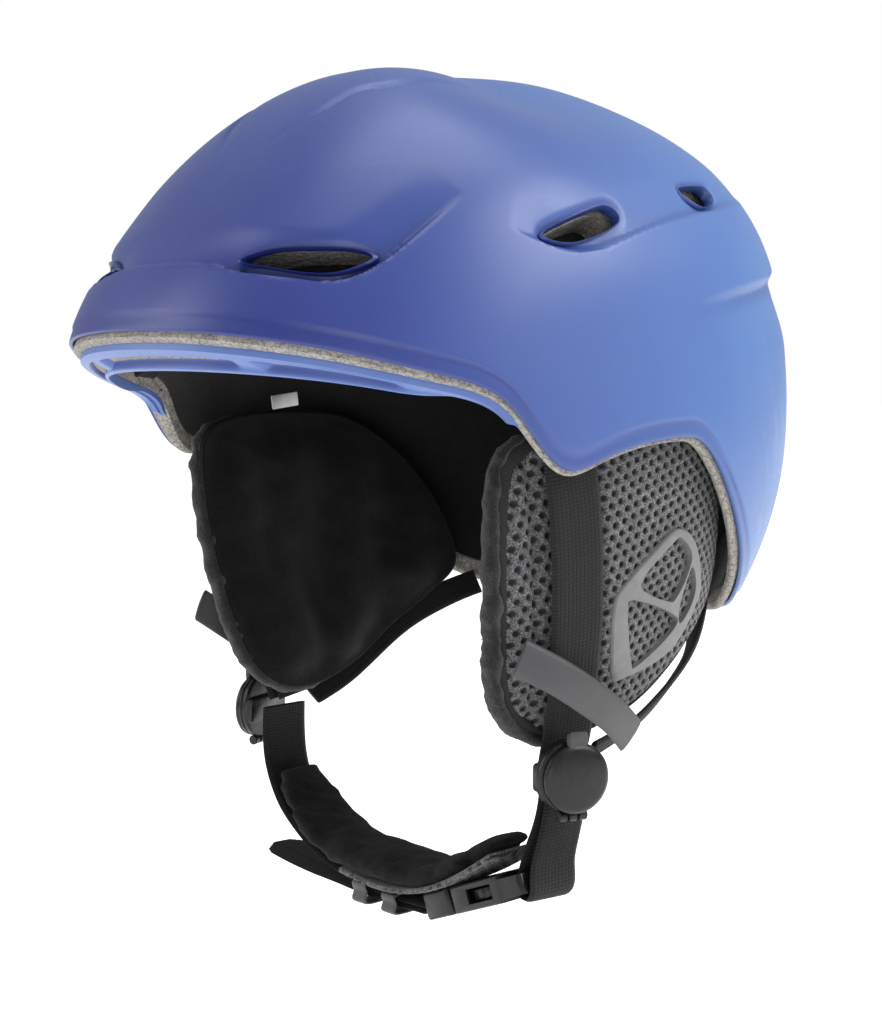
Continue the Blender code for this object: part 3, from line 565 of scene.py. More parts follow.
def plush_paint(name="black_plush", tone=1.0, sheen=0.16):
    """Short pile: soft sheen, brushed patches and fine fibres."""
    paint = Paint(name, 0.95, Sheen_Weight=sheen, Sheen_Roughness=0.4)
    paint.shader.inputs["Sheen Tint"].default_value = (0.62, 0.60, 0.60, 1)
    paint.shader.inputs["Specular IOR Level"].default_value = 0.12
    patches = paint.noise(9, 4, 0.65)
    fibres = paint.noise(0.5, 3, 0.8)
    base = paint.mix(patches, (0.0025 * tone,) * 3, (0.012 * tone, 0.0115 * tone, 0.0112 * tone))
    # Painted highlight: fibre tips lighter where the pile catches the light.
    lit = (0.05 * tone, 0.047 * tone, 0.045 * tone)
    base = paint.mix(paint.between(fibres, 0.56, 0.74, 0, 0.55), base, lit)
    paint.color(base)
    paint.bump(patches, 0.7)
    paint.bump(fibres, 0.5)
    return paint.material


def lining_paint():
    paint = Paint("lining_cloth", 0.95, Sheen_Weight=0.25)
    paint.shader.inputs["Specular IOR Level"].default_value = 0.1
    paint.color(paint.mix(paint.noise(4, 3), (0.005, 0.005, 0.005), (0.013, 0.013, 0.014)))
    paint.bump(paint.noise(0.7, 2), 0.2)
    return paint.material


def knit_paint():
    """Open spacer knit: fine bright yarn round holes darkened with painted shade."""
    paint = Paint("spacer_knit", 0.75, Sheen_Weight=0.2)
    hole = paint.attribute("hole")
    yarn = paint.noise(0.55, 3, 0.75)
    base = paint.mix(paint.between(yarn, 0.42, 0.66), (0.010, 0.010, 0.011), (0.25, 0.25, 0.255))
    base = paint.mix(paint.between(paint.noise(3, 2), 0.35, 0.65, 0.0, 0.4), base, (0.03, 0.03, 0.032))
    # Painted shade: the holes go near black, standing in for their depth.
    base = paint.mix(paint.between(hole, 0.15, 0.6), base, (0.002, 0.002, 0.002))
    paint.color(base)
    paint.bump(yarn, 0.35)
    return paint.material


def webbing_paint(name="black_webbing", dark=(0.004, 0.004, 0.004), light=(0.019, 0.018, 0.0175)):
    """Woven straps: each rib is a row of short yarns that catch the light."""
    paint = Paint(name, 0.75, Sheen_Weight=0.05, Specular_IOR_Level=0.25)
    weave = paint.attribute("weave", True)
    axes = paint.add("ShaderNodeSeparateXYZ", weave).outputs
    rib = paint.math("ABSOLUTE", paint.math("SINE", paint.math("MULTIPLY", axes[0], math.pi / WEB_RIB)))
    column = paint.math("ABSOLUTE", paint.math("SINE", paint.math("MULTIPLY", axes[1], math.pi / 1.5)))
    yarn = paint.noise(0.0008 / MM, 2, 0.7, weave, (0.002, 0.0006, 0.001))
    height = paint.math("MULTIPLY", rib, paint.math("POWER", column, 0.5))
    share = paint.math("MULTIPLY", height, paint.between(yarn, 0.3, 0.7, 0.35, 1.0))
    # Painted highlight and shade: rib tops lighter, the hollows between them darker.
    paint.color(paint.mix(share, dark, light))
    paint.bump(height, 0.22)
    paint.bump(paint.noise(0.3, 2, 0.7), 0.05)
    return paint.material


def elastic_paint():
    paint = Paint("grey_elastic", 0.42, Sheen_Weight=0.1)
    weave = paint.attribute("weave", True)
    axes = paint.add("ShaderNodeSeparateXYZ", weave).outputs
    threads = paint.math("ABSOLUTE", paint.math("SINE", paint.math("MULTIPLY", axes[0], math.pi / 0.45)))
    base = paint.mix(paint.noise(5, 3), (0.028, 0.026, 0.028), (0.041, 0.039, 0.041))
    base = paint.mix(paint.math("MULTIPLY", threads, 0.25), base, (0.08, 0.076, 0.08))
    paint.color(base)
    paint.bump(threads, 0.03)
    return paint.material


def plastic_paint(name, color, roughness, grain=0.6):
    """Moulded plastic: a fine grain, and wear that dulls and lightens patches."""
    paint = Paint(name, roughness, Specular_IOR_Level=0.35)
    light = tuple(min(1.0, 1.5 * c + 0.006) for c in color)
    paint.color(paint.mix(paint.between(paint.noise(7, 4, 0.6), 0.45, 0.8, 0.0, 0.5), color, light))
    paint.rough(paint.between(paint.noise(2.2, 4, 0.7), 0.3, 0.7, roughness - 0.08, roughness + 0.1))
    paint.bump(paint.noise(grain, 2), 0.03)
    return paint.material


def label_paint():
    paint = Paint("white_label", 0.8)
    paint.color(paint.mix(paint.noise(3, 3), (0.62, 0.61, 0.62), (0.80, 0.79, 0.80)))
    paint.bump(paint.noise(0.4, 2), 0.08)
    return paint.material


# ---------------------------------------------------------------- shell


def path_distance(points, path, heights):
    """Signed distance from a path on the dome's left half, or its mirror image, and the height there.

    The sign is positive above a path that runs rearward.
    """
    points = points.copy()
    points[..., 0] = np.abs(points[..., 0])
    best = np.full(points.shape[:-1], 1e9)
    signed, height = best.copy(), np.zeros_like(best)
    for a, b, high_a, high_b in zip(path[:-1], path[1:], heights[:-1], heights[1:]):
        step = b - a
        share = np.clip((points - a) @ step / (step @ step), 0, 1)
        away = points - (a + share[..., None] * step)
        distance = np.linalg.norm(away, axis=-1)
        side = np.sign(away @ np.cross(unit(a - DOME_CENTRE), step))
        nearer = distance < best
        best = np.where(nearer, distance, best)
        signed = np.where(nearer, distance * side, signed)
        height = np.where(nearer, high_a + share * (high_b - high_a), height)
    return signed, height


def sculpt(points):
    """How far the shell stands in from the plain dome, in millimetres, and how much painted shade its colour
    gets there.
    """
    depth, shade = np.zeros(points.shape[:-1]), np.zeros(points.shape[:-1])
    for path, side, sharp, reach in STEPS.values():
        dense = smooth_path(path, 40)
        edge = dome(OUTER, dense[:, 0], dense[:, 1])
        signed, height = path_distance(points, edge, np.maximum(dense[:, 2], 0))
        signed = signed * side
        profile = smoothstep(-sharp, sharp, signed) * (1 - smoothstep(sharp, reach, signed))
        depth += height * profile
        # Painted shade along the crease, darker where the step is higher.
        line = hill(signed - 1.2 * sharp, 2.4 * sharp)
        shade = np.maximum(shade, CREASE_SHADE * line * np.clip(height / CREASE_FULL, 0, 1))
    for outline in VENTS.values():
        ring = rounded_loop(outline, 6)
        edge = dome(OUTER, *np.vstack([ring, ring[:1]]).T)
        signed, _ = path_distance(points, edge, np.zeros(len(edge)))
        depth += 1 - smoothstep(0.2, 3.2, np.abs(signed))
        # Painted shade round each vent's edge.
        shade = np.maximum(shade, VENT_SHADE * (1 - smoothstep(0.3, 2.2, np.abs(signed))))
    return depth, shade


def vent_ring(outline, size, inset, mirrored):
    """The vent's outline on the shell, scaled about its middle, this far in."""
    ring = rounded_loop(outline, 10)
    ring = ring.mean(0) + (ring - ring.mean(0)) * size
    points = dome(OUTER, ring[:, 0], ring[:, 1], inset)
    return points * (-1 if mirrored else 1, 1, 1)


def vent_cutter(outline, size, depths, mirrored):
    rings = [vent_ring(outline, size, inset, mirrored) for inset in depths]
    return skin("cutter", rings, None)


def add_shell(paint):
    around = np.linspace(0, 360, SHELL_COLUMNS, endpoint=False)
    rim = rim_angle(around)
    shares = np.linspace(0.004, 1, SHELL_ROWS)[:, None]
    base = dome(OUTER, around, shares * rim)
    normals = grid_normals(base)
    depth, shade = sculpt(base)
    below = np.linalg.norm(base - base[-1:], axis=-1)
    band = 1 - smoothstep(3.2, 4.6, below)
    edge_line = hill(below - RIM_LINE_UP, 1.0)
    depth = depth + RIM_BAND_DEPTH * band + RIM_LINE_DEPTH * edge_line
    outer = base - normals * depth[..., None]
    inner = base[::-1] - normals[::-1] * (depth[::-1] + SHELL_THICKNESS)[..., None]
    lip, lip_in = outer[-1], inner[0]
    middle, half = (lip + lip_in) / 2, (lip - lip_in) / 2
    downward = unit(outer[-1] - outer[-2]) * SHELL_THICKNESS / 2
    angles = np.linspace(0, math.pi, 7)[1:-1]
    turn = [middle + half * math.cos(t) + downward * math.sin(t) for t in angles]
    rings = np.concatenate([outer, turn, inner])
    # Painted shade along the rim's sunk line and band, and round the rolled edge.
    shade = np.maximum(shade, np.maximum(0.55 * edge_line, 0.3 * band))
    shades = np.concatenate([shade, np.full((5, SHELL_COLUMNS), 0.3), shade[::-1]])
    shell = skin("helmet_shell", rings, paint, {"shade": shades})
    cutters = [vent_cutter(v, 1.0, (-8, 12), twin) for v in VENTS.values() for twin in (False, True)]
    cut_with(shell, cutters)
    finish_piece(shell, "helmet", "shell", "outer_shell", sharp=40)


def add_vent_sleeves(paint):
    """The turned-in edge of the shell in each vent."""
    section = ((1.0, 1.2), (0.985, 2.6), (0.965, 4.6), (1.0, 5.0), (1.07, 4.6), (1.07, 1.8))
    for name, outline in VENTS.items():
        for side in (False, True):
            rings = [vent_ring(outline, size, inset, side) for size, inset in section]
            count = len(rings[0])
            # Painted shade, darkest deep inside the vent.
            shades = np.repeat([0.35, 0.6, 0.8, 0.9, 0.8, 0.6], count)
            piece_name = f"vent_sleeve_{name}_{'right' if side else 'left'}"
            piece = skin(piece_name, rings, paint, {"shade": shades}, closed_rows=True)
            finish_piece(piece, "helmet", "shell", sharp=50)


def add_liner(paint):
    around = np.linspace(0, 360, SHELL_COLUMNS // 2, endpoint=False)
    rim = rim_angle(around)
    shares = np.linspace(0.01, 1, 60)[:, None]
    depth = 2.6 + 3.2 * smoothstep(0.99, 0.6, shares)
    down = shares * (rim + LINER_BELOW_RIM)
    stand_in, _ = sculpt(dome(OUTER, around, down))
    outer = dome(OUTER, around, down, depth + stand_in)
    inner = dome(INNER, around, shares * (rim + inner_drop(around)))
    across = np.linspace(0, 1, 10)[1:-1, None, None]
    edge = outer[-1] * (1 - across) + inner[-1] * across
    bulge = np.sin(np.pi * across) * 0.8
    edge = edge + unit(outer[-1] - outer[-2]) * bulge
    rings = np.concatenate([outer, edge, inner[::-1]])
    liner = skin("foam_liner", rings, paint)
    cutters = [
        vent_cutter(outline, LINER_VENT_SIZE[vent], (-8, 60), twin)
        for vent, outline in VENTS.items()
        for twin in (False, True)
    ]
    cut_with(liner, cutters)
    finish_piece(liner, "helmet", "foam", "eps_liner", sharp=50)


def add_lining(paint):
    """Black cloth over the inside of the foam."""
    around = np.linspace(0, 360, 180, endpoint=False)
    shares = np.linspace(0.01, 1, 60)[:, None]
    reach = rim_angle(around) + inner_drop(around) - 2.5
    front = dome(INNER, around, shares * reach, 0.5)
    back = dome(INNER, around, shares * reach, 1.5)
    folds = 0.5 * wobble(back, 30, 5)[..., None]
    back = back - unit(back - DOME_CENTRE) * folds * smoothstep(1, 0.9, shares)[..., None]
    piece = skin("inner_lining", np.concatenate([front, back[::-1]]), paint)
    finish_piece(piece, "helmet", "plush", sharp=60)


# ---------------------------------------------------------------- brow trim


def add_brow_trim(paint):
    """The moulded strip under the brow, with a groove in the middle and a pocket on each side."""
    across_count, columns = 60, 420
    around = np.linspace(-180 - TEMPLE_END, TEMPLE_END, columns)
    rim = rim_angle(around)
    outer = dome(OUTER, around, rim + LINER_BELOW_RIM, 3.3)
    inner = dome(INNER, around, rim + inner_drop(around))
    along = unit(np.gradient(outer, axis=0))
    down = unit(np.cross(along, inner - outer))
    down *= -np.sign(down[:, 2:])
    share = np.linspace(0.16, 0.985, across_count)[:, None]
    place = outer + (inner - outer) * share[..., None]
    side = np.abs(place[..., 0])
    v = (share - share[0]) / (share[-1] - share[0])

    def slot(low, high, start, end, soft=0.05, soft_side=2.0):
        sideways = window(side, start, end, soft_side)
        return sideways * window(v, low, high, soft)

    groove = slot(0.42, 0.80, -50, 33)
    pocket = slot(0.36, 0.80, 42, 72)
    lip = smoothstep(0.80, 0.86, v) * (1 - smoothstep(0.96, 1.0, v))
    step = smoothstep(74, 80, side) * smoothstep(0.55, 0.62, v)
    height = 2.6 + 0.9 * lip * (1 - smoothstep(70, 80, side))
    height = height - 2.2 * np.maximum(groove, pocket) - 0.8 * step
    height = height - 1.6 * (1 - smoothstep(0.0, 0.05, v)) - 1.6 * smoothstep(0.97, 1.0, v)
    from_end = np.minimum(np.arange(columns), np.arange(columns)[::-1])
    ends = smoothstep(0, 5, from_end)
    height = 0.4 + (height - 0.4) * ends
    # Painted shade on the walls and floors of the groove and pockets.
    steep = np.abs(np.gradient(np.maximum(groove, pocket), axis=0))
    shade = np.clip(0.75 * np.maximum(groove, pocket) * smoothstep(0.9, 0.35, v) + 2.2 * steep, 0, 1)
    taper = 0.55 + 0.45 * np.sin(np.clip(from_end / 14, 0, 1) * np.pi / 2)
    middle = outer + (inner - outer) * 0.58
    place = middle + (place - middle) * taper[:, None]
    top = place + down * height[..., None]
    bottom = place + down * 0.25
    rings = np.concatenate([top, bottom[::-1]])
    rings = np.swapaxes(rings, 0, 1)
    shades = np.swapaxes(np.concatenate([shade, np.zeros_like(shade)]), 0, 1)
    piece = skin("brow_trim_moulding", rings, paint, {"shade": shades})
    finish_piece(piece, "helmet", "trim", "brow_trim", sharp=60)


# ---------------------------------------------------------------- ear pads


def ear_face(y, z):
    """X of the outer face of the left ear pad."""
    drop = np.maximum(0.0, EAR_TOP_Z - z) / (EAR_TOP_Z - EAR_BOTTOM_Z)
    return EAR_CURVE(y) - EAR_LEAN * drop**1.8


def ear_point(y, z, depth):
    return np.stack(np.broadcast_arrays(ear_face(y, z) - depth, y, z), -1)


def ear_rings(outline, shares, depths):
    """Rings of the ear pad from its middle outwards, each at its depth behind the outer face."""
    shares, depths = np.asarray(shares), np.asarray(depths)
    ring = EAR_MIDDLE + (outline - EAR_MIDDLE) * shares[:, None, None]
    return ear_point(ring[..., 0], ring[..., 1], depths[:, None]), ring


def holes(y, z, radius):
    """1 inside the round holes of the open knit, on a staggered lattice that climbs to the rear."""
    slant = math.radians(MESH_SLANT)
    u = (y * math.cos(slant) + z * math.sin(slant)) / MESH_PITCH[0]
    v = (z * math.cos(slant) - y * math.sin(slant)) / MESH_PITCH[1]
    nearest = np.full(np.shape(u), 9.0)
    for shift in (0.0, 0.5):
        du = (u + shift + 0.5) % 1 - 0.5
        dv = (v / 2 + shift + 0.5) % 1 - 0.5
        across = np.hypot(du * MESH_PITCH[0], dv * 2 * MESH_PITCH[1])
        nearest = np.minimum(nearest, across)
    return 1 - smoothstep(radius - 0.35, radius + 0.3, nearest)


def strap_y(z):
    """Where the front strap crosses the ear pad."""
    return np.interp(z, (-186, -88), (-10, -29))


def add_ear_pads(knit, plush, edge_plush, binding_paint, rubber):
    outline = rounded_loop(EAR_OUTLINE, 36)
    count = len(outline)
    shares = np.concatenate([np.linspace(0.01, 0.9, 120), np.linspace(0.91, 1.0, 9)])
    depths = 1.2 + 4.6 * smoothstep(0.84, 1.02, shares) ** 1.4
    front, flat = ear_rings(outline, shares, depths)
    y, z = flat[..., 0], flat[..., 1]
    seam = hill(np.abs(y - strap_y(z)) - 11.5, 3.0) * smoothstep(1.0, 0.9, shares)[:, None]
    hole = holes(y, z, 1.05) * smoothstep(0.955, 0.92, shares)[:, None]
    puff = 1.4 * wobble(front, 60, 3) * smoothstep(1.0, 0.8, shares)[:, None]
    front[..., 0] += puff * 0.5 - 1.5 * seam - 1.5 * hole
    back, _ = ear_rings(outline, np.array((1.0, 0.97, 0.75, 0.05)), np.array((7.4, 8.8, 11.2, 11.5)))
    rings = np.concatenate([front, back])
    mask = np.concatenate([hole, np.zeros((4, count))])
    pads = [skin("ear_pad_knit_left", rings, knit, {"hole": mask})]

    # Binding round the edge: fine ribs across a narrow rolled band.
    fine = rounded_loop(EAR_OUTLINE, 44)
    ribs = np.arange(len(fine)) % 3 / 3 * 2 * np.pi
    turn = np.linspace(0, 2 * np.pi, 16, endpoint=False)
    bands = []
    for angle in turn:
        share = 0.955 + 0.047 * math.cos(angle)
        ring = EAR_MIDDLE + (fine - EAR_MIDDLE) * share
        bulge = 2.6 * math.sin(angle) + 0.12 * np.cos(ribs)
        bands.append(ear_point(ring[:, 0], ring[:, 1], 5.6 - bulge + 1.2 * math.cos(angle)))
    pads.append(skin("ear_pad_binding_left", np.array(bands), binding_paint, closed_rows=True))

    # Plush lining: a crowned pad on the inside that rolls forward round the front edge.
    soft = rounded_loop(EAR_OUTLINE, 14)
    shares = np.concatenate([np.linspace(0.02, 0.9, 40), np.linspace(0.92, 1.0, 6)])
    inner_depth = 9.2 + 8.6 * (1 - smoothstep(0.55, 1.03, shares) ** 1.4)
    inner, flat = ear_rings(soft, shares * 0.985, inner_depth)
    crease = hill(flat[..., 0] + 8 + 0.25 * (flat[..., 1] + 130), 9)
    crease = crease * smoothstep(-110, -150, flat[..., 1])
    dents = 1.1 * wobble(inner, 34, 11) + 0.5 * wobble(inner, 13, 12)
    inner[..., 0] += (dents + 1.6 * crease) * smoothstep(1.0, 0.85, shares)[:, None]
    outer, _ = ear_rings(soft, np.array((0.985, 0.9, 0.5, 0.05)), np.array((8.4, 10.2, 11.8, 11.9)))
    pads.append(skin("ear_lining_plush_left", np.concatenate([inner, outer]), plush))
    front_run = [p for p in soft if p[0] < 12 and p[1] < -84]
    from_middle = np.array(front_run) - EAR_MIDDLE
    turns = np.arctan2(from_middle[:, 1], from_middle[:, 0]) % (2 * math.pi)
    order = [front_run[index] for index in np.argsort(turns, kind="stable")]
    run = smooth_path(order[:: max(1, len(order) // 16)], 90)
    centre = ear_point(run[:, 0], run[:, 1], 5.2)
    away = unit(np.column_stack([np.zeros(len(run)), run - EAR_MIDDLE]))
    centre = centre - away * 0.6
    swell = np.sin(np.linspace(0.12, math.pi - 0.12, len(run))) ** 0.4
    roll = tube_rings(centre, np.stack([2.5 * swell, 3.6 * swell], -1), away, 22)
    uneven = 0.45 * wobble(roll, 9, 21) + 0.25 * wobble(roll, 4, 22)
    roll = roll + unit(roll - centre[:, None]) * uneven[..., None]
    pads.append(skin("ear_lining_roll_left", roll, edge_plush))
    pads.append(add_badge(rubber))
    nodes = (("ear_pad",), (), ("ear_lining",), (), ("ear_badge",))
    slots = ("mesh", "webbing", "plush", "plush", "rubber")
    for piece, stands_for, slot in zip(pads, nodes, slots):
        twin = mirrored(piece)
        for obj, side in ((piece, "left"), (twin, "right")):
            finish_piece(obj, f"ear_pad_{side}", slot, *[f"{n}_{side}" for n in stands_for])


def add_badge(rubber):
    """A plain moulded frame with slots, on the outside of the pad."""
    outline = rounded_loop(BADGE_OUTLINE, 12)
    middle = outline.mean(0)
    slots = [rounded_loop(s, 8) for s in BADGE_SLOTS]
    rings = []
    # How far out each ring is, as a share of the outline, and how far it stands off the pad.
    section = ((0.02, 1.0), (0.5, 1.0), (0.93, 1.0), (0.98, 0.8), (1.0, 0.2),
               (1.0, -1.2), (0.5, -1.2), (0.02, -1.2))  # fmt: skip
    for share, lift in section:
        ring = middle + (outline - middle) * share
        rings.append(ear_point(ring[:, 0], ring[:, 1], 0.4 - lift))
    badge = skin("ear_badge_frame_left", np.array(rings), rubber)
    cutters = [skin("cutter", [ear_point(s[:, 0], s[:, 1], d) for d in (-6, 8)], None) for s in slots]
    cut_with(badge, cutters)
    bevel(badge, 0.35, 2, 35)
    return badge


def mirrored(left):
    """The right-hand twin of a left-hand piece."""
    mesh = left.data.copy()
    mesh.transform(Matrix.Scale(-1, 4, Vector((1, 0, 0))))
    mesh.flip_normals()
    right = bpy.data.objects.new(left.name.replace("left", "right"), mesh)
    bpy.context.scene.collection.objects.link(right)
    return right


# ---------------------------------------------------------------- straps


def tube_rings(path, radii, sideways, count=16):
    """Rings round a path; radii are the half-sizes along the two directions across it."""
    tangents = unit(np.gradient(path, axis=0))
    first = unit(sideways - tangents * np.einsum("ij,ij->i", sideways, tangents)[:, None])
    second = np.cross(tangents, first)
    turn = np.linspace(0, 2 * np.pi, count, endpoint=False)
    radii = np.broadcast_to(radii, (len(path), 2))
    return (path[:, None] + first[:, None] * (np.cos(turn) * radii[:, :1])[..., None]
            + second[:, None] * (np.sin(turn) * radii[:, 1:])[..., None])  # fmt: skip


def strap_frame(path, facing):
    """Width and thickness directions of a strap whose face looks roughly along facing."""
    tangents = unit(np.gradient(path, axis=0))
    widths = unit(np.cross(tangents, np.broadcast_to(facing, path.shape)))
    return widths, np.cross(widths, tangents)


def strap_up(path):
    """Directions for a strap in a vertical plane across the helmet, its width fore and aft."""
    tangents = unit(np.gradient(path, axis=0))
    widths = np.tile((0.0, 1.0, 0.0), (len(path), 1))
    return widths, unit(np.cross(tangents, widths))


def resample(path, step):
    path = np.asarray(path, float)
    along = np.concatenate([[0], np.cumsum(np.linalg.norm(np.diff(path, axis=0), axis=1))])
    stations = np.arange(0, along[-1], step)
    return np.stack([np.interp(stations, along, path[:, k]) for k in range(3)], 1)


def strap(
    name, route, facing, width, thickness, paint, rib=WEB_RIB, rib_depth=0.2, narrow=None, cup=0.0,
):  # fmt: skip
    """A flat woven strap with ribs across it and rounded edges.

    facing is the way its face looks, or None for a strap in a vertical plane across the helmet.
    """
    path = resample(smooth_path(route, 60), STRAP_STEP)
    widths, normals = strap_up(path) if facing is None else strap_frame(path, facing)
    count = 26
    half = np.linspace(-1, 1, count // 2)
    across = np.concatenate([half, half[::-1]])
    side = np.concatenate([np.ones(count // 2), -np.ones(count // 2)])
    along = np.arange(len(path)) * STRAP_STEP
    body = np.sqrt(np.clip(1 - np.abs(across) ** 8, 0, 1))
    phase = np.where((np.arange(count) // 2) % 2, 0.0, 0.5)
    ribs = rib_depth * np.abs(np.cos(np.pi * (along[:, None] / rib + phase * 0.6)))
    edge = 0.12 * np.exp(-(((np.abs(across) - 0.9) / 0.06) ** 2))
    lift = side * (thickness / 2 * body + (ribs - rib_depth / 2) * body + edge)
    size = width / 2 * (np.ones(len(path)) if narrow is None else np.interp(along / along[-1], *narrow))
    sway = 0.12 * wobble(path, 26, len(path))[:, None]
    twist = 0.35 * wobble(path, 40, 4)[:, None] * across
    points = (path[:, None] + widths[:, None] * (across * size[:, None] + sway)[..., None]
              + normals[:, None] * (lift + cup * across**2 + twist)[..., None])  # fmt: skip
    weave = np.stack(np.broadcast_arrays(along[:, None], across * width / 2, side), -1)
    return skin(name, points, paint, {"weave": weave})


def add_side_straps(webbing, elastic):
    heights = np.linspace(-86.0, -187.0, 14)
    sideways = strap_y(heights)
    route = ear_point(sideways, heights, -1.5)
    front = strap("front_webbing_left", route, (0.98, -0.17, 0.0), 20.0, 1.8, webbing)
    inner = strap("front_webbing_inner_left", route + (-2.0, 2.6, 0), (0.98, -0.17, 0.0), 19.0, 1.4, webbing)
    rear = strap("rear_webbing_left", REAR_STRAP_ROUTE, (0.72, 0.25, -0.62), 11.0, 1.8, webbing)
    keeper = strap("pad_keeper_band_left", KEEPER_ROUTE, (0.93, -0.3, 0.1), 12.0, 0.9, elastic,
                   0.5, 0.02, cup=-0.5)  # fmt: skip
    pieces = ((front, "front_strap"), (inner, None), (rear, "rear_strap"), (keeper, "pad_keeper"))
    for piece, node in pieces:
        twin = mirrored(piece)
        for obj, side in ((piece, "left"), (twin, "right")):
            slot = "elastic" if node == "pad_keeper" else "webbing"
            finish_piece(obj, "helmet", slot, *([f"{node}_{side}"] if node else []))


# ---------------------------------------------------------------- moulded parts


def bevel(obj, width, segments=3, angle=30):
    modifier = obj.modifiers.new("bevel", "BEVEL")
    modifier.width = width * MM
    modifier.segments = segments
    modifier.limit_method = "ANGLE"
    modifier.angle_limit = math.radians(angle)
    modifier.harden_normals = True
    apply_modifiers(obj)
    return obj


def prism(name, outline, low, high, place, paint, edge=0.5, segments=3):
    """An outline in the local XY plane, extruded along local Z, with rounded edges."""
    count = len(outline)
    points = np.array([place @ Vector((x, y, z)) for z in (low, high) for x, y in outline])
    mesh = bpy.data.meshes.new(name)
    faces = [list(range(count))[::-1], list(range(count, 2 * count))]
    faces += [[i, (i + 1) % count, count + (i + 1) % count, count + i] for i in range(count)]
    mesh.from_pydata((points * MM).tolist(), [], faces)
    work = bmesh.new()
    work.from_mesh(mesh)
    bmesh.ops.recalc_face_normals(work, faces=work.faces)
    work.to_mesh(mesh)
    work.free()
    mesh.materials.append(paint)
    obj = bpy.data.objects.new(name, mesh)
    bpy.context.scene.collection.objects.link(obj)
    if edge:
        bevel(obj, edge, segments)
    obj.data.shade_smooth()
    obj.data.set_sharp_from_angle(angle=math.radians(40))
    return obj


def box_outline(x0, x1, y0, y1, corner=0.0, steps=5):
    """A rectangle with rounded corners."""
    if not corner:
        return [(x0, y0), (x1, y0), (x1, y1), (x0, y1)]
    out = []
    for cx, cy, start in ((x1 - corner, y0 + corner, -90), (x1 - corner, y1 - corner, 0),
                          (x0 + corner, y1 - corner, 90), (x0 + corner, y0 + corner, 180)):  # fmt: skip
        for k in range(steps + 1):
            angle = math.radians(start + 90 * k / steps)
            out.append((cx + corner * math.cos(angle), cy + corner * math.sin(angle)))
    return out


def turned(name, profile, place, paint, sides=96):
    """A body of revolution about local Z from (radius, height) points that don't touch the axis."""
    turn = np.linspace(0, 2 * np.pi, sides, endpoint=False)
    rings = []
    for radius, height in profile:
        ring = np.stack([radius * np.cos(turn), radius * np.sin(turn), np.full(sides, height)], -1)
        rings.append([place @ Vector(p) for p in ring])
    obj = skin(name, np.array(rings), paint)
    obj.data.set_sharp_from_angle(angle=math.radians(28))
    return obj


def divider_place(depth):
    """Local Z points out of the left divider's face, and local Y up; the origin is depth behind the face."""
    normal = Vector((math.sin(DIVIDER_TOE_OUT), -math.cos(DIVIDER_TOE_OUT), 0))
    up = Vector((0, 0, 1))
    turn = Matrix((up.cross(normal), up, normal)).transposed().to_4x4()
    return Matrix.Translation(Vector(DIVIDER_FACE) - normal * depth) @ turn


def add_dividers(black, grey):
    cover_place, body_place = divider_place(3.5), divider_place(8.0)
    dome_profile = ((0.3, 3.55), (4, 3.45), (7.4, 3.1), (9.0, 2.8), (9.7, 2.6), (10.5, 2.15),
                    (11.1, 1.5), (11.3, 0.7), (11.2, 0.1), (10.6, 0.0), (0.3, 0.0))  # fmt: skip
    cover = [turned("divider_cover_disc_left", dome_profile, cover_place, black)]
    tab = box_outline(-3.4, 3.4, 9.6, 15.2, 1.6)
    cover.append(prism("divider_cover_tab_left", tab, 0.3, 2.2, cover_place, grey, 0.5))
    ring_profile = ((0.3, 4.3), (10.4, 4.3), (11.3, 3.9), (11.5, 3.3), (11.1, 2.9), (11.5, 2.5),
                    (11.6, 1.2), (11.0, 0.2), (0.3, 0.0))  # fmt: skip
    shifted = body_place @ Matrix.Translation((-1.0, 0.4, 0))
    body = [turned("divider_body_ring_left", ring_profile, shifted, black)]
    bar = box_outline(-12.0, 12.0, -4.6, 4.6, 1.5)
    body.append(prism("divider_body_frame_left", bar, -1.6, 0.6, body_place, black, 0.5))
    barrel = ((0.2, -1.4), (1.5, -1.4), (1.8, -1.1), (1.8, 1.1), (1.5, 1.4), (0.2, 1.4))
    for index, x in enumerate((-3.6, -0.1, 3.4)):
        knuckle = body_place @ Matrix.Translation((x, -12.4, 2.6)) @ Matrix.Rotation(math.pi / 2, 4, "Y")
        piece = turned(f"divider_knuckle_{index}_left", barrel, knuckle, black, 32)
        (cover if index == 1 else body).append(piece)
    for pieces, node in ((cover, "divider_cover"), (body, "divider_body")):
        for index, piece in enumerate(pieces):
            twin = mirrored(piece)
            for obj, side in ((piece, "left"), (twin, "right")):
                rides = f"divider_cover_{side}" if node == "divider_cover" else "helmet"
                finish_piece(obj, rides, "plastic", *([f"{node}_{side}"] if index == 0 else []))


# ---------------------------------------------------------------- padding


def points_of(mesh):
    flat = np.empty(len(mesh.vertices) * 3, np.float32)
    mesh.vertices.foreach_get("co", flat)
    return flat.reshape(-1, 3).astype(float)


def set_points(mesh, points):
    mesh.vertices.foreach_set("co", points.astype(np.float32).ravel())
    mesh.update()


def puffed_points(obj):
    """Where a short cloth run with air pressure inside takes the points."""
    cloth = obj.modifiers.new("cloth", "CLOTH")
    cloth.settings.use_pressure = True
    cloth.settings.uniform_pressure_force = CLOTH_PRESSURE
    cloth.settings.effector_weights.gravity = 0
    cloth.point_cache.frame_end = CLOTH_FRAMES
    for number in range(1, CLOTH_FRAMES + 1):
        bpy.context.scene.frame_set(number)
    graph = bpy.context.evaluated_depsgraph_get()
    puffed = points_of(obj.evaluated_get(graph).data)
    obj.modifiers.clear()
    bpy.context.scene.frame_set(1)
    return puffed


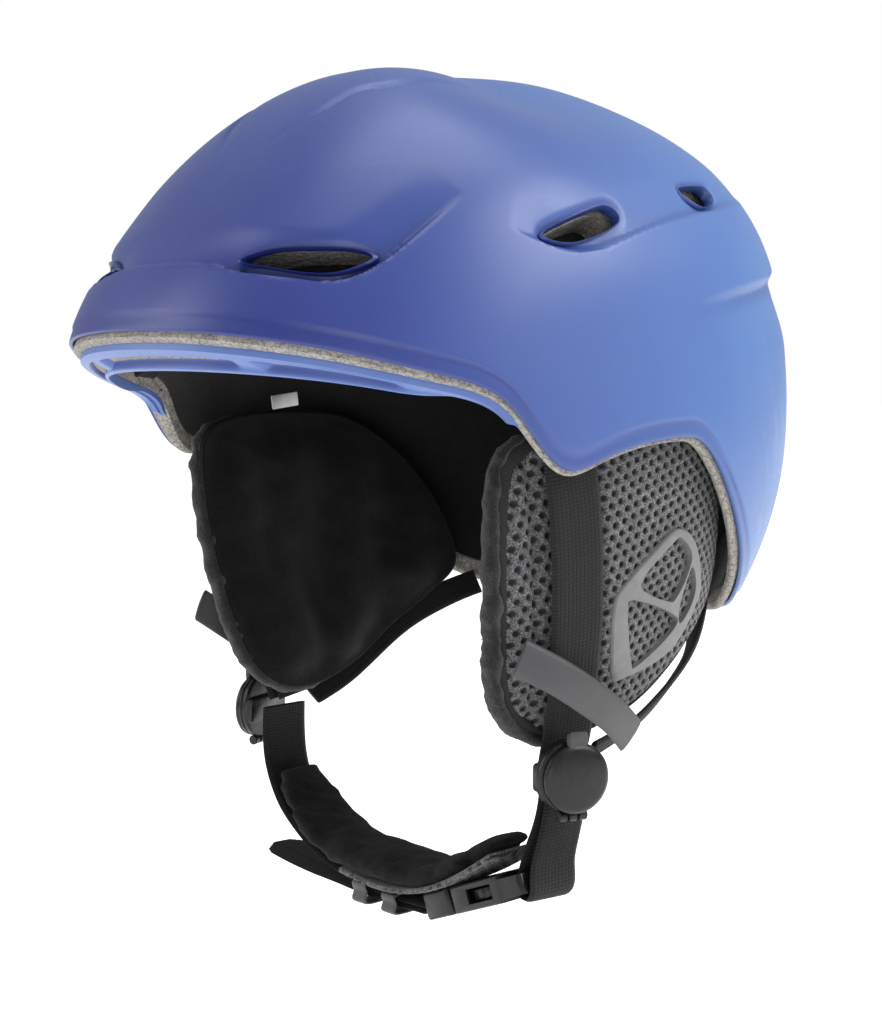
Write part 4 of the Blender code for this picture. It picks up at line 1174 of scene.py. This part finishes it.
def inflate(obj, paint, voxel=4.5, most=2.0):
    """Turns a closed form into a stuffed one: even faces, a capped cloth run, and smoothing.

    most is the cap in millimetres, which most points of the side, rear and neck pads reach.
    """
    even = obj.modifiers.new("even", "REMESH")
    even.mode = "VOXEL"
    even.voxel_size = voxel * MM
    apply_modifiers(obj)
    start = points_of(obj.data)
    move = puffed_points(obj) - start
    length = np.linalg.norm(move, axis=1, keepdims=True)
    move *= np.minimum(1, most * MM / np.maximum(length, 1e-9))
    set_points(obj.data, start + move)
    smooth = obj.modifiers.new("smooth", "SUBSURF")
    smooth.levels = smooth.render_levels = 1
    apply_modifiers(obj)
    obj.data.materials.clear()
    obj.data.materials.append(paint)
    obj.data.shade_smooth()
    return obj


def ruffle(obj, deep, size, seed):
    """Uneven dents along the normals, as in worn plush."""
    points = points_of(obj.data) / MM
    normals = np.empty(len(points) * 3, np.float32)
    obj.data.vertex_normals.foreach_get("vector", normals)
    waves = wobble(points, size, seed) + 0.45 * wobble(points, size * 0.4, seed + 1)
    set_points(obj.data, (points + normals.reshape(-1, 3) * deep * waves[:, None]) * MM)


def edge_fall(count):
    """1 in the middle of a row of points and 0.25 at both ends."""
    share = np.abs(np.linspace(-1, 1, count))
    return 0.25 + 0.75 * np.sqrt(np.clip(1 - share**5, 0, 1))


def lay_pad(name, around, low, high, insets, paint, deeper=None):
    """A pad on the foam between two directions round the head and from low to high down it."""
    columns, rows = 60, 26
    around = np.linspace(*around, columns)[:, None]
    low, high = (value(around) if callable(value) else value for value in (low, high))
    down = low + (high - low) * np.linspace(0, 1, rows)
    full = edge_fall(columns)[:, None] * edge_fall(rows)
    more = deeper(around) if deeper else 0.0
    near = dome(INNER, around, down, insets[0] + 0.6 + more)
    far = dome(INNER, around, down, insets[0] + more + (insets[1] - insets[0] - 1.4) * full)
    pad = skin(name, np.concatenate([near, far[:, ::-1]], axis=1), paint)
    inflate(pad, paint)
    ruffle(pad, 0.35, 26, len(name))
    return pad


def add_head_pads(plush, white):
    brow = lay_pad("brow_cushion", (-146, -34), 78.0, lambda a: rim_angle(a) + inner_drop(a) + 1.0,
                   (1.3, 8.5), plush)  # fmt: skip
    side = lay_pad("side_cushion_left", (-26, 40), 52.0, 95.0, (1.6, 9.0), plush)
    rear = lay_pad("rear_cushion", (60, 120), 70.0, 100.0, (1.6, 9.0), plush)
    neck = lay_pad("neck_cushion", (56, 124), 116.0, 147.0, (3.5, 14.0), plush,
                   lambda a: 12 * np.exp(-(((a - 90) / 20) ** 2)))  # fmt: skip
    around = np.linspace(0, 360, 60, endpoint=False)
    angles = np.linspace(1, 23.4, 16)[:, None]
    top = dome(INNER, around, angles, 1.9)
    under = dome(INNER, around, angles[::-1], 1.9 + 5.2 * np.sqrt(1 - (angles[::-1] / 24) ** 4))
    crown = inflate(skin("crown_cushion", np.concatenate([top, under]), plush), plush)
    pads = [(brow, "brow_pad"), (rear, "rear_pad"), (neck, "neck_pad"), (crown, "crown_pad"),
            (side, "side_pad_left"), (mirrored(side), "side_pad_right")]  # fmt: skip
    for pad, node in pads:
        finish_piece(pad, "helmet", "plush", node)
    facing = Matrix(((0, 0, 1, 0), (1, 0, 0, 0), (0, 1, 0, 0), (0, 0, 0, 1)))
    place = Matrix.Translation((-75.4, -6.5, -76.2)) @ facing @ Matrix.Rotation(0.12, 4, "Z")
    label = prism("blank_label", box_outline(-6.2, 6.2, -2.6, 2.6, 0.5), -0.3, 0.3, place, white, 0.1, 1)
    finish_piece(label, "helmet", "label", "size_label")


# ---------------------------------------------------------------- chin strap


def band(name, x, loop, width, thickness, paint):
    """A flat band closed round a loop of (y, z) points, at this x."""
    along = unit(np.roll(loop, -1, 0) - np.roll(loop, 1, 0))
    outward = np.stack([along[:, 1], -along[:, 0]], 1)
    turn = np.linspace(0, 2 * np.pi, 24, endpoint=False)
    across = width / 2 * np.sign(np.cos(turn)) * np.abs(np.cos(turn)) ** 0.35
    lift = thickness / 2 * np.sign(np.sin(turn)) * np.abs(np.sin(turn)) ** 0.7
    points = np.empty((len(loop), len(turn), 3))
    points[..., 0] = x + across
    points[..., 1:] = loop[:, None] + outward[:, None] * lift[None, :, None]
    run = np.arange(len(loop))[:, None] * 0.5
    weave = np.stack(np.broadcast_arrays(run, across[None], lift[None]), -1)
    return skin(name, points, paint, {"weave": weave}, closed_rows=True)


def add_chin_strap(plush, knit, webbing, elastic):
    right = strap("chin_webbing_right_band", CHIN_ROUTE, None, 20, 1.8, webbing)
    rounded_end = ((0, 0.93, 0.97, 1.0), (1, 1, 0.86, 0.5))
    tail = strap("webbing_tail_end", TAIL_ROUTE, None, 19.4, 1.8, webbing, narrow=rounded_end)
    finish_piece(right, "chin_strap", "webbing", "chin_webbing_right")
    finish_piece(tail, "chin_strap", "webbing", "webbing_tail")
    for index, route in enumerate(NEAR_ROUTES):
        layer = strap(f"chin_webbing_left_layer_{index}", route, None, 20, 1.5, webbing)
        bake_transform(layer)  # fmt: skip
        if index == 0:
            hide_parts("chin_webbing_left")
    path = smooth_path(PAD_ROUTE, 46)
    widths, normals = strap_up(path)
    full = np.sin(np.linspace(0.2, math.pi - 0.2, len(path))) ** 0.3
    waves = 0.9 * np.sin(np.linspace(0, 15.0, len(path)))
    turn = np.linspace(0, 2 * np.pi, 40, endpoint=False)
    side = 15.6 * np.sign(np.cos(turn)) * np.abs(np.cos(turn)) ** 0.55
    lift = 3.9 * np.sign(np.sin(turn)) * np.abs(np.sin(turn)) ** 0.7
    rings = (path[:, None] + widths[:, None] * (side * full[:, None])[..., None]
             + normals[:, None] * (lift * full[:, None] + waves[:, None])[..., None])  # fmt: skip
    pad = inflate(skin("chin_cushion", rings, plush), plush, 4.0, 1.6)
    ruffle(pad, 0.55, 17, 8)
    finish_piece(pad, "chin_strap", "plush", "chin_pad")
    under = smooth_path(PAD_ROUTE[3:], 120)
    widths, normals = strap_up(under)
    away = normals * -np.sign(normals[:, 2:])
    across = np.linspace(-14.2, 14.2, 90)
    bulge = 4.4 + 1.3 * np.sqrt(1 - (across / 15) ** 2)
    hole = holes(across[None] + 0 * under[:, :1], under[:, :1] * 1.05 + 0 * across, 0.95)
    outer = (under[:, None] + widths[:, None] * across[:, None]
             + away[:, None] * (bulge - 1.0 * hole)[..., None])  # fmt: skip
    inner = under[:, None] + widths[:, None] * across[:, None] * 0.96 + away[:, None] * 3.2
    rings = np.concatenate([outer, inner[:, ::-1]], axis=1)
    mask = np.concatenate([hole, np.zeros_like(hole)], axis=1)
    panel = skin("chin_mesh_panel", rings, knit, {"hole": mask})
    finish_piece(panel, "chin_strap", "mesh")
    for (node, x), inset in zip(KEEPERS.items(), (0.0, 0.2)):
        top = np.interp(x, *np.array(CHIN_ROUTE).T[[0, 2]]) + 2.0
        low = np.interp(x, *np.array(TAIL_ROUTE)[::-1].T[[0, 2]]) - 1.9
        middle = (low + top) / 2
        loop = rounded_loop([(-31.8, low), (-31.9, middle), (-31.8, top), (-20, top + 0.2), (-8.2, top),
                             (-8.1, middle), (-8.2, low), (-20, low - 0.3)], 14)  # fmt: skip
        piece = band(f"{node}_loop", x, loop, 7.0 - inset, 1.0, elastic)
        finish_piece(piece, "chin_strap", "elastic", node)


def two_sided(*half):
    """An outline from the points of its upper half, from left to right, and their images below."""
    return [(x, -y) for x, y in half] + list(half)[::-1]


def add_buckle(black):
    """Socket, plug and two prongs in the buckle's frame: local X from plug to socket, local Z to the chin."""
    place = Matrix.Translation(BUCKLE_BAR) @ Matrix.Rotation(-BUCKLE_TILT, 4, "Y")
    outline = two_sided((-31, 12.2), (-29.5, 13), (-8, 13), (-4, 12.6), (1.4, 12.4), (2.5, 11.4))
    socket = prism("buckle_socket_body", outline, -4.5, 4.5, place, black, 1.1, 4)
    cutters = [
        prism("cutter", box_outline(-32, -6.5, -11.6, 11.6), -2.9, 2.9, place, black, 0),
        prism("cutter", box_outline(-22.5, -11, -14.5, 14.5, 1.0), -2.4, 2.4, place, black, 0),
        prism("cutter", box_outline(-4.2, 0.2, -10.8, 10.8, 0.8), -6, 6, place, black, 0),
        prism("cutter", box_outline(-25.5, -8.5, -8.5, 8.5, 3.0), -5.5, -4.0, place, black, 0),
        prism("cutter", box_outline(-7.5, 4, -14, 14), 3.2, 6, place, black, 0),
        prism("cutter", box_outline(-7.5, 4, -14, 14), -6, -3.2, place, black, 0),
    ]
    cut_with(socket, cutters)
    bevel(socket, 0.25, 2, 38)
    finish_piece(socket, "buckle_socket", "plastic", "buckle_socket", sharp=40)
    outline = two_sided((-46, 10.6), (-44.8, 12.0), (-33.5, 13), (-31.4, 12.6))
    plug = prism("buckle_plug_body", outline, -4.5, 4.5, place, black, 1.0, 4)
    root_x, root_y = PRONG_ROOT
    cutters = [prism("cutter", box_outline(-44.5, -41.7, -10.8, 10.8, 0.6), -6, 6, place, black, 0)]
    cutters += [prism("cutter", box_outline(root_x - 3, -30, y - 2.4, y + 2.4), -2.3, 2.3, place, black, 0)
                for y in (root_y, -root_y)]  # fmt: skip
    cut_with(plug, cutters)
    bevel(plug, 0.25, 2, 38)
    finish_piece(plug, "chin_strap", "plastic", "buckle_plug", sharp=40)
    tongue = prism("plug_tongue", box_outline(-33, -15, -2.1, 2.1, 1.0), -1.7, 1.7, place, black, 0.5)
    finish_piece(tongue, "chin_strap", "plastic")
    for name, sign in (("prong_rear", 1), ("prong_front", -1)):
        y = root_y
        outline = [(root_x - 2, y - 1.4), (-24, y - 1.4), (-12.5, y - 1.6), (-12.5, y + 1.2),
                   (-16, y + 2.4), (-20.5, y + 2.4), (-24, y + 0.8), (root_x - 2, y + 1.4)]  # fmt: skip
        outline = [(px, sign * py) for px, py in outline]
        prong = prism(f"{name}_arm", outline, -1.9, 1.9, place, black, 0.55, 4)
        finish_piece(prong, name, "plastic", name)
        outward = Matrix.Rotation(-sign * math.pi / 2, 4, "X")
        pad_place = place @ Matrix.Translation((-17.8, sign * (y + 2.2), 0)) @ outward
        button = ((0.2, 0.7), (1.2, 0.62), (1.8, 0.3), (1.9, -0.4), (0.2, -0.4))
        thumb = turned(f"{name}_thumb", button, pad_place, black, 48)
        finish_piece(thumb, name, "plastic")


# ---------------------------------------------------------------- fittings behind


def add_fittings(black, grey):
    """The fit system and the goggle clip: the frame's hard solids with rounded edges, and a ribbed dial."""
    kept = ("fit_housing", "fit_pinion", "band_arm_left", "band_arm_right",
            "goggle_clip_base", "goggle_clip")  # fmt: skip
    for node in kept:
        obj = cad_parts[node]
        obj.data.materials.clear()
        obj.data.materials.append(grey if node.startswith(("band", "fit_pinion")) else black)
        modifier = obj.modifiers.new("bevel", "BEVEL")
        modifier.width = (0.15 if node == "fit_pinion" else 0.5) * MM
        modifier.segments = 3
        modifier.limit_method = "ANGLE"
        modifier.angle_limit = math.radians(35)
        modifier.harden_normals = True
    place = Matrix.Translation(DIAL_CENTRE) @ Matrix.Rotation(-math.pi / 2, 4, "X")
    turn = np.linspace(0, 2 * np.pi, 288, endpoint=False)
    rings = []
    # Radius, height and how much of the grip's ribs each ring has.
    section = ((0.3, 1.3, 0), (11.0, 1.3, 0), (11.8, 1.8, 0.5), (11.8, 7.4, 1), (11.2, 8.1, 0.5),
               (9.4, 8.4, 0), (8.6, 7.9, 0), (7.8, 8.3, 0), (0.3, 8.4, 0))  # fmt: skip
    for radius, height, rib in section:
        around = radius + 0.35 * rib * np.cos(turn * 24)
        ring = [Vector((r * math.cos(t), r * math.sin(t), height)) for r, t in zip(around, turn)]
        rings.append([place @ point for point in ring])
    dial = skin("fit_dial_knob", np.array(rings), black)
    finish_piece(dial, "fit_dial", "plastic", "fit_dial", sharp=35)
    spindle = turned("fit_dial_spindle", ((0.2, -5.6), (2.1, -5.6), (2.1, 1.6), (0.2, 1.6)), place, black, 40)
    finish_piece(spindle, "fit_dial", "plastic")


# ---------------------------------------------------------------- camera, light and floor


def add_camera():
    azimuth, elevation = math.radians(CAMERA_AZIMUTH), math.radians(CAMERA_ELEVATION)
    right = Vector((math.cos(azimuth), math.sin(azimuth), 0))
    level = Vector((math.sin(azimuth), -math.cos(azimuth), 0))
    toward = level * math.cos(elevation) + Vector((0, 0, math.sin(elevation)))
    up = toward.cross(right)
    camera = bpy.data.objects.new("camera", bpy.data.cameras.new("camera"))
    place = (toward * CAMERA_DISTANCE + right * CAMERA_AIM[0] + up * CAMERA_AIM[1]) * MM
    camera.matrix_world = Matrix.Translation(place) @ Matrix((right, up, toward)).transposed().to_4x4()
    camera.data.lens = CAMERA_LENS
    camera.data.clip_start = 0.01
    bpy.context.scene.collection.objects.link(camera)
    bpy.context.scene.camera = camera


def add_light(name, place, target, size, watts):
    light = bpy.data.lights.new(name, "AREA")
    light.shape = "RECTANGLE"
    light.size, light.size_y = size
    light.energy = watts
    obj = bpy.data.objects.new(name, light)
    obj.location = place
    obj.rotation_euler = (Vector(target) - Vector(place)).to_track_quat("-Z", "Y").to_euler()
    bpy.context.scene.collection.objects.link(obj)


def add_stage():
    scene = bpy.context.scene
    scene.view_settings.view_transform = "Standard"
    world = bpy.data.worlds.new("studio")
    world.use_nodes = True
    nodes, links = world.node_tree.nodes, world.node_tree.links
    background = nodes["Background"]
    background.inputs["Color"].default_value = (0.93, 0.95, 1.0, 1)
    background.inputs["Strength"].default_value = 0.45
    white = nodes.new("ShaderNodeBackground")
    white.inputs["Color"].default_value = (1, 1, 1, 1)
    seen, mix = nodes.new("ShaderNodeLightPath"), nodes.new("ShaderNodeMixShader")
    links.new(seen.outputs["Is Camera Ray"], mix.inputs[0])
    links.new(background.outputs[0], mix.inputs[1])
    links.new(white.outputs[0], mix.inputs[2])
    links.new(mix.outputs[0], nodes["World Output"].inputs["Surface"])
    scene.world = world
    target = (0, 0, -0.09)
    add_light("key", (0.75, 0.35, 0.55), target, (0.7, 0.7), 9.0)
    add_light("front", (-0.75, -0.85, 0.35), target, (0.6, 0.9), 4.2)
    add_light("top", (0.05, 0.0, 0.95), target, (0.8, 0.8), 5.0)
    add_light("near", (0.55, -0.75, -0.15), target, (0.5, 0.5), 1.3)
    floor_z = cad_box[0][2] / MM - FLOOR_DROP
    paint = Paint("floor", 0.9, Emission_Color=(1, 1, 1, 1), Emission_Strength=0.85)
    paint.color(paint.mix(paint.noise(400, 2), (0.70, 0.70, 0.70), (0.74, 0.74, 0.74)))
    reach = 9000.0
    corners = [(-reach, -reach), (reach, -reach), (reach, reach), (-reach, reach)]
    mesh = bpy.data.meshes.new("floor")
    mesh.from_pydata([Vector((x, y, floor_z)) * MM for x, y in corners], [], [(0, 1, 2, 3)])
    mesh.materials.append(paint.material)
    floor = bpy.data.objects.new("floor", mesh)
    scene.collection.objects.link(floor)


# ---------------------------------------------------------------- assembly


def main():
    add_camera()
    add_stage()
    blue, foam, trim = shell_paint(), foam_paint(), trim_paint()
    plush, cloth = plush_paint(), lining_paint()
    add_shell(blue)
    add_vent_sleeves(blue)
    add_liner(foam)
    add_lining(cloth)
    add_brow_trim(trim)
    knit, webbing, elastic = knit_paint(), webbing_paint(), elastic_paint()
    binding = webbing_paint("grey_binding", (0.016, 0.0155, 0.015), (0.075, 0.07, 0.067))
    black = plastic_paint("black_plastic", (0.007, 0.0068, 0.007), 0.3)
    rubber = plastic_paint("grey_rubber", (0.16, 0.155, 0.155), 0.5)
    # The rolled front edge gets a lighter copy of the black plush with more sheen: painted light where the
    # edge catches the light.
    add_ear_pads(knit, plush, plush_paint("lit_edge_plush", 3.0, 0.45), binding, rubber)
    add_side_straps(webbing, elastic)
    add_dividers(black, plastic_paint("grey_plastic", (0.045, 0.044, 0.046), 0.4))
    add_chin_strap(plush, knit, webbing, elastic)
    add_buckle(black)
    add_head_pads(plush, label_paint())
    add_fittings(black, rubber)


main()
